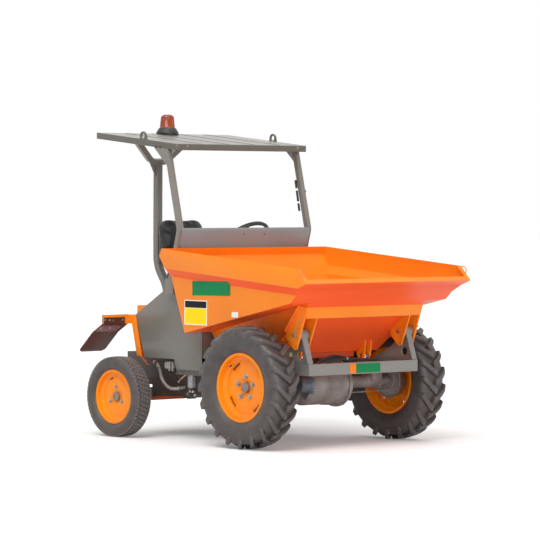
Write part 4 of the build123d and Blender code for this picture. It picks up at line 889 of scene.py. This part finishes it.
def makeUnderPanel():
    body = bodyOf("chassis")
    layLines(underLines, body)
    layRings(underRings, body)
    makeBottle(body)
    rows = []
    for side, label in sides[::-1]:
        plate = [(x, side * belly["plateFace"], z) for x, z in belly["plate"]]
        slab("bellyPlate" + label, plate, (0, -side, 0), belly["thick"], body, "chassisBlack", "frame_paint",
             belly["round"])
        edge = [(x, side * belly["face"], z) for x, z in belly["edge"]]
        slab("bellyEdge" + label, edge, (0, side, 0), belly["thick"], body, "darkOrange", "skip_paint")
        rows += [((x, side * belly["face"], z), (0, side, 0)) for x, z in belly["bolts"]]
    bolts("chassisBolts", body, belly["bolt"], rows)


makeUnderPanel()
print("under the panel ready")


# hydraulic lines behind the front beam, and the fittings of the front axle
frontLines = {  # radius, finish, slot, points
    "liftLine": (0.0085, "hoseRubber", "rubber", [
        (0.868, -0.36, 0.535), (0.820, -0.345, 0.545), (0.785, -0.29, 0.562), (0.780, -0.20, 0.590),
        (0.780, -0.13, 0.599), (0.780, -0.05, 0.588), (0.775, 0.03, 0.560), (0.72, 0.06, 0.545),
        (0.684, 0.07, 0.520)]),
    "lowerLine": (0.0085, "hoseRubber", "rubber", [
        (0.868, -0.34, 0.520), (0.820, -0.32, 0.530), (0.800, -0.26, 0.548), (0.795, -0.16, 0.572),
        (0.795, -0.04, 0.578), (0.795, 0.05, 0.572), (0.795, 0.15, 0.566), (0.80, 0.26, 0.556),
        (0.82, 0.33, 0.545), (0.868, 0.35, 0.530)]),
    "crossLine": (0.006, "hoseRubber", "rubber", [
        (0.868, -0.05, 0.530), (0.835, 0.0, 0.552), (0.815, 0.08, 0.570), (0.81, 0.18, 0.566),
        (0.82, 0.29, 0.556), (0.868, 0.32, 0.535)]),
}
frontRings = {"lineBracket": ((0.795, -0.04, 0.578), (0, 1, 0), 0.013, 0.016, "boltSteel")}
floorRib = {"half": 0.235, "round": 0.003,
            "outline": [(0.500, 0.574), (0.584, 0.574), (0.5925, 0.613), (0.494, 0.613)]}
cheekTag = {"face": -0.484, "rear": 0.722, "front": 0.746, "bottom": 0.600, "top": 0.628, "thick": 0.003}
driveAxle = {  # bolt circles: count, radius, size and first place; at: Y and the way they face
    "housing": {"count": 14, "radius": 0.1505, "size": 0.0125, "start": 0.0, "at": [(0.100, -1), (0.122, 1)]},
    "brake": {"count": 8, "radius": 0.05, "size": 0.0115, "start": 0.5, "at": [(-0.596, 1), (0.596, -1)]},
    "collar": {"count": 6, "radius": 0.0455, "size": 0.0105, "start": 0.0, "at": [(-0.486, 1), (0.486, -1)]},
}
brakeLip = {"face": 0.608, "profile": [(0.0, 0.1085), (-0.004, 0.1085), (-0.006, 0.1115), (-0.006, 0.116),
                                       (-0.003, 0.1178), (0.0, 0.1178)]}
earBolts = {"face": 0.556, "size": 0.010, "at": [(0.842, 0.757), (0.846, 0.735), (0.862, 0.776)]}


def makeFront():
    body, axle = bodyOf("front_frame"), bodyOf("drive_axle")
    layLines(frontLines, body)
    layRings(frontRings, body)
    # the folded rib under the skip floor, its darker orange painted shade
    rib = [(x, -floorRib["half"], z) for x, z in floorRib["outline"]]
    slab("floorRib", rib, (0, 1, 0), 2 * floorRib["half"], bodyOf("skip_shell"), "darkOrange", "skip_paint",
         floorRib["round"])
    tag = upright(*(cheekTag[key] for key in ("face", "rear", "front", "bottom", "top")))
    slab("cheekTag", tag, (0, -1, 0), cheekTag["thick"], body, "tagPale", "frame_paint")
    hub = middle("front_tyre_left")
    for name, facts in driveAxle.items():
        rows = []
        for y, facing in facts["at"]:
            rows += circleOf(facts["count"], facts["radius"], hub, y, facing, facts["start"])
        bolts(name + "Bolts", axle, facts["size"], rows)
    for side, label in sides:
        profile = [(side * y, r) for y, r in brakeLip["profile"]]
        lip = turned("brakeLip" + label, profile, Vector((hub.x, side * brakeLip["face"], hub.z)), 64)
        place(lip, axle, "galvanised", "steel")
    rows = [((x, side * earBolts["face"], z), (0, side, 0)) for side in (-1, 1) for x, z in earBolts["at"]]
    bolts("earBolts", bodyOf("skip_brackets"), earBolts["size"], rows)


makeFront()
print("front ready")


# canopy and guard trim
canopy = {"skirtBolts": [(-0.462, 1.9638), (-0.4213, 1.9636)], "skirtBolt": 0.010,
          "frontBolts": (-0.5074, 0.5074), "frontBoltsZ": 1.9693, "frontBolt": 0.012,
          "shieldHoles": [(-0.2215, -0.025, 1.380), (-0.2215, 0.165, 1.380)], "shieldFacing": (0.96, 0, -0.28),
          "shieldHole": 0.009}
postFittings = {"face": 0.5705, "half": 0.007, "thick": 0.012, "round": 0.002,
                "startX": -0.3345, "startZ": 1.748, "lean": 0.1916,
                "spans": [(1.748, 1.690), (1.676, 1.600), (1.588, 1.534)]}
postRings = {"postKnob": ((-0.2985, 0.612, 1.669), (0, 1, 0), 0.013, 0.022, "mouldedBlack", "black_plastic")}


def makeCanopyTrim():
    body, frameBody = bodyOf("roof"), bodyOf("rops_frame")
    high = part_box("roof")[1]
    rows = [((x, side * high.y, z), (0, side, 0)) for side in (-1, 1) for x, z in canopy["skirtBolts"]]
    bolts("skirtBolts", body, canopy["skirtBolt"], rows, "boltDark")
    rows = [((high.x, y, canopy["frontBoltsZ"]), (1, 0, 0)) for y in canopy["frontBolts"]]
    bolts("frontSkirtBolts", body, canopy["frontBolt"], rows)
    # dark bolt heads where the shield has holes: painted shade in the holes
    rows = [(spot, canopy["shieldFacing"]) for spot in canopy["shieldHoles"]]
    bolts("shieldHoles", frameBody, canopy["shieldHole"], rows, "boltDark")
    # fittings down the left post's inner face
    facts = postFittings
    half = facts["half"]
    for i, (top, bottom) in enumerate(facts["spans"]):
        corners = [(facts["startX"] + (facts["startZ"] - z) * facts["lean"] + across, facts["face"], z)
                   for z, across in ((bottom, -half), (bottom, half), (top, half), (top, -half))]
        slab("postFitting%d" % (i + 1), corners, (0, -1, 0), facts["thick"], frameBody, "mouldedBlack",
             "black_plastic", facts["round"])
    layRings(postRings, frameBody)


makeCanopyTrim()


# mudflaps: the clamping strips and their bolts
flaps = {
    "outer": 0.7815, "inner": 0.594, "thick": 0.003,
    "plateX": -0.7915, "plateBottom": 0.766, "plateTop": 0.812,
    "stripFront": (-0.8080, 0.7598), "stripRear": (-0.8860, 0.7147), "facing": (0.5, 0, -0.866),
    "upper": [(0.770, 0.7965), (0.7303, 0.7935), (0.7002, 0.7915), (0.6139, 0.7935)], "upperBolt": 0.011,
    "lower": (0.770, 0.690, 0.612), "lowerAt": (-0.8342, 0.7411), "lowerBolt": 0.012,
}


def makeFlapTrim():
    body = bodyOf("mudflaps")
    x, low, high = flaps["plateX"], flaps["plateBottom"], flaps["plateTop"]
    (frontX, frontZ), (rearX, rearZ), (boltX, boltZ) = flaps["stripFront"], flaps["stripRear"], flaps["lowerAt"]
    upper, lower = [], []
    for side, label in sides:
        outer, inner = side * flaps["outer"], side * flaps["inner"]
        plate = [(x, outer, low), (x, inner, low), (x, inner, high), (x, outer, high)]
        slab("flapPlate" + label, plate, (1, 0, 0), flaps["thick"], body, "flapRubber", "rubber")
        strip = [(frontX, outer, frontZ), (frontX, inner, frontZ), (rearX, inner, rearZ), (rearX, outer, rearZ)]
        slab("flapStrip" + label, strip, flaps["facing"], flaps["thick"], body, "flapStrip", "steel")
        upper += [((x + flaps["thick"], side * y, z), (1, 0, 0)) for y, z in flaps["upper"]]
        lower += [((boltX, side * y, boltZ), flaps["facing"]) for y in flaps["lower"]]
    bolts("flapBoltsUpper", body, flaps["upperBolt"], upper)
    bolts("flapBoltsLower", body, flaps["lowerBolt"], lower)


makeFlapTrim()
print("trim ready")


# beacon
beacon = {"ribs": 36, "ripple": 0.0016, "ripplesFrom": 0.05, "ripplesTo": 0.8, "outline": [
    # share of the height, radius
    (0.0, 0.0535), (0.05, 0.0535), (0.07, 0.052), (0.76, 0.0455), (0.86, 0.0415), (0.94, 0.0315),
    (0.985, 0.0185)]}


def makeBeaconLens():
    low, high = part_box("beacon_lens")
    centre = (low + high) / 2
    height = high.z - low.z
    bm = bmesh.new()
    rings = []
    for rise, radius in beacon["outline"]:
        loop = []
        for i in range(beacon["ribs"] * 2):
            angle = pi * i / beacon["ribs"]
            rippled = i % 2 and beacon["ripplesFrom"] < rise < beacon["ripplesTo"]
            r = radius - (beacon["ripple"] if rippled else 0)
            spot = (centre.x + r * cos(angle), centre.y + r * sin(angle), low.z + height * rise)
            loop.append(bm.verts.new(spot))
        rings.append(loop)
    lens = loft("beaconLens", bm, rings)
    place(lens, bodyOf("beacon_lens"), "amberLens", slotOf["beacon_lens"], "beacon_lens", crease=50)


makeBeaconLens()


# seat pads
seat = {"shrink": 0.965, "round": 0.03, "voxel": 0.006, "pressure": 4.0, "cap": 0.018, "steps": 20,
        "split": 1.2, "backFrom": 1.14, "cushionFrom": -0.775}
seatBars = {"x": -0.913, "half": 0.09, "z": (0.925, 1.05, 1.25), "radius": 0.011}


def islands(bm):
    # the vertices of each loose part
    left, found = set(bm.verts), []
    while left:
        part, todo = set(), [left.pop()]
        while todo:
            vert = todo.pop()
            part.add(vert)
            for edge in vert.link_edges:
                other = edge.other_vert(vert)
                if other in left:
                    left.discard(other)
                    todo.append(other)
        found.append(part)
    return found


def fitPads(bm):
    # the back pad starts higher and the cushion further forward than their solids
    for part in islands(bm):
        axis = 2 if max(vert.co.z for vert in part) > seat["split"] else 0
        low, high = (pick(vert.co[axis] for vert in part) for pick in (min, max))
        start = seat["backFrom"] if axis == 2 else seat["cushionFrom"]
        for vert in part:
            vert.co[axis] = high - (high - vert.co[axis]) * (high - start) / (high - low)


def makePads():
    bm = bmesh.new()
    bm.from_mesh(frame["nodes"]["seat_pads"].data)
    bmesh.ops.remove_doubles(bm, verts=bm.verts, dist=1e-5)
    bmesh.ops.dissolve_limit(bm, angle_limit=radians(1), verts=bm.verts, edges=bm.edges)
    fitPads(bm)
    centre = middle("seat_pads")
    for vert in bm.verts:
        vert.co = centre + (vert.co - centre) * seat["shrink"]
    pads = fromBmesh("seatPads", bm, outward=False)
    pads = soften(pads, seat["round"], 4)
    pads = inflate(pads)
    smooth = pads.modifiers.new("skin", "SUBSURF")
    smooth.levels = smooth.render_levels = 1
    pads = settle(pads)
    place(pads, bodyOf("seat_pads"), "seatVinyl", slotOf["seat_pads"], "seat_pads", crease=60)


def inflate(pads):
    # swollen by pressure from inside, each point moved no further than the cap
    fine = pads.modifiers.new("even", "REMESH")
    fine.mode, fine.voxel_size = "VOXEL", seat["voxel"]
    pads = settle(pads)
    rest = [vert.co.copy() for vert in pads.data.vertices]
    cloth = pads.modifiers.new("swell", "CLOTH")
    cloth.settings.use_pressure = True
    cloth.settings.uniform_pressure_force = seat["pressure"]
    cloth.settings.effector_weights.gravity = 0
    scene = bpy.context.scene
    for step in range(1, seat["steps"] + 1):
        scene.frame_set(step)
    pads = settle(pads)
    for vert, start in zip(pads.data.vertices, rest):
        move = vert.co - start
        if move.length > seat["cap"]:
            vert.co = start + move.normalized() * seat["cap"]
    scene.frame_set(1)
    return pads


makePads()
for side, label in sides:  # the bars that hold the back pad
    bar = [(seatBars["x"], side * seatBars["half"], z) for z in seatBars["z"]]
    tube("seatBar" + label, bar, seatBars["radius"], bodyOf("seat_base"), "satinBlack", "black_paint")
print("seat and beacon ready")


# floor
def makeFloor():
    bm = bmesh.new()
    bmesh.ops.create_grid(bm, x_segments=1, y_segments=1, size=studio["floorHalf"])
    floor = fromBmesh("studioFloor", bm, outward=False)
    plain = {"Base Color": (studio["floorTone"],) * 3 + (1,), "Roughness": 1.0, "Specular IOR Level": 0.0,
             "Emission Color": (1, 1, 1, 1)}
    material, tree, surface = newMaterial("floorPale", plain)
    rays = add(tree, "ShaderNodeLightPath").outputs
    glow = maths(tree, "MULTIPLY", rays["Is Camera Ray"], studio["floorGlow"])
    tree.links.new(glow, surface["Emission Strength"])
    floor.data.materials.append(material)


makeFloor()

print("pieces ready")
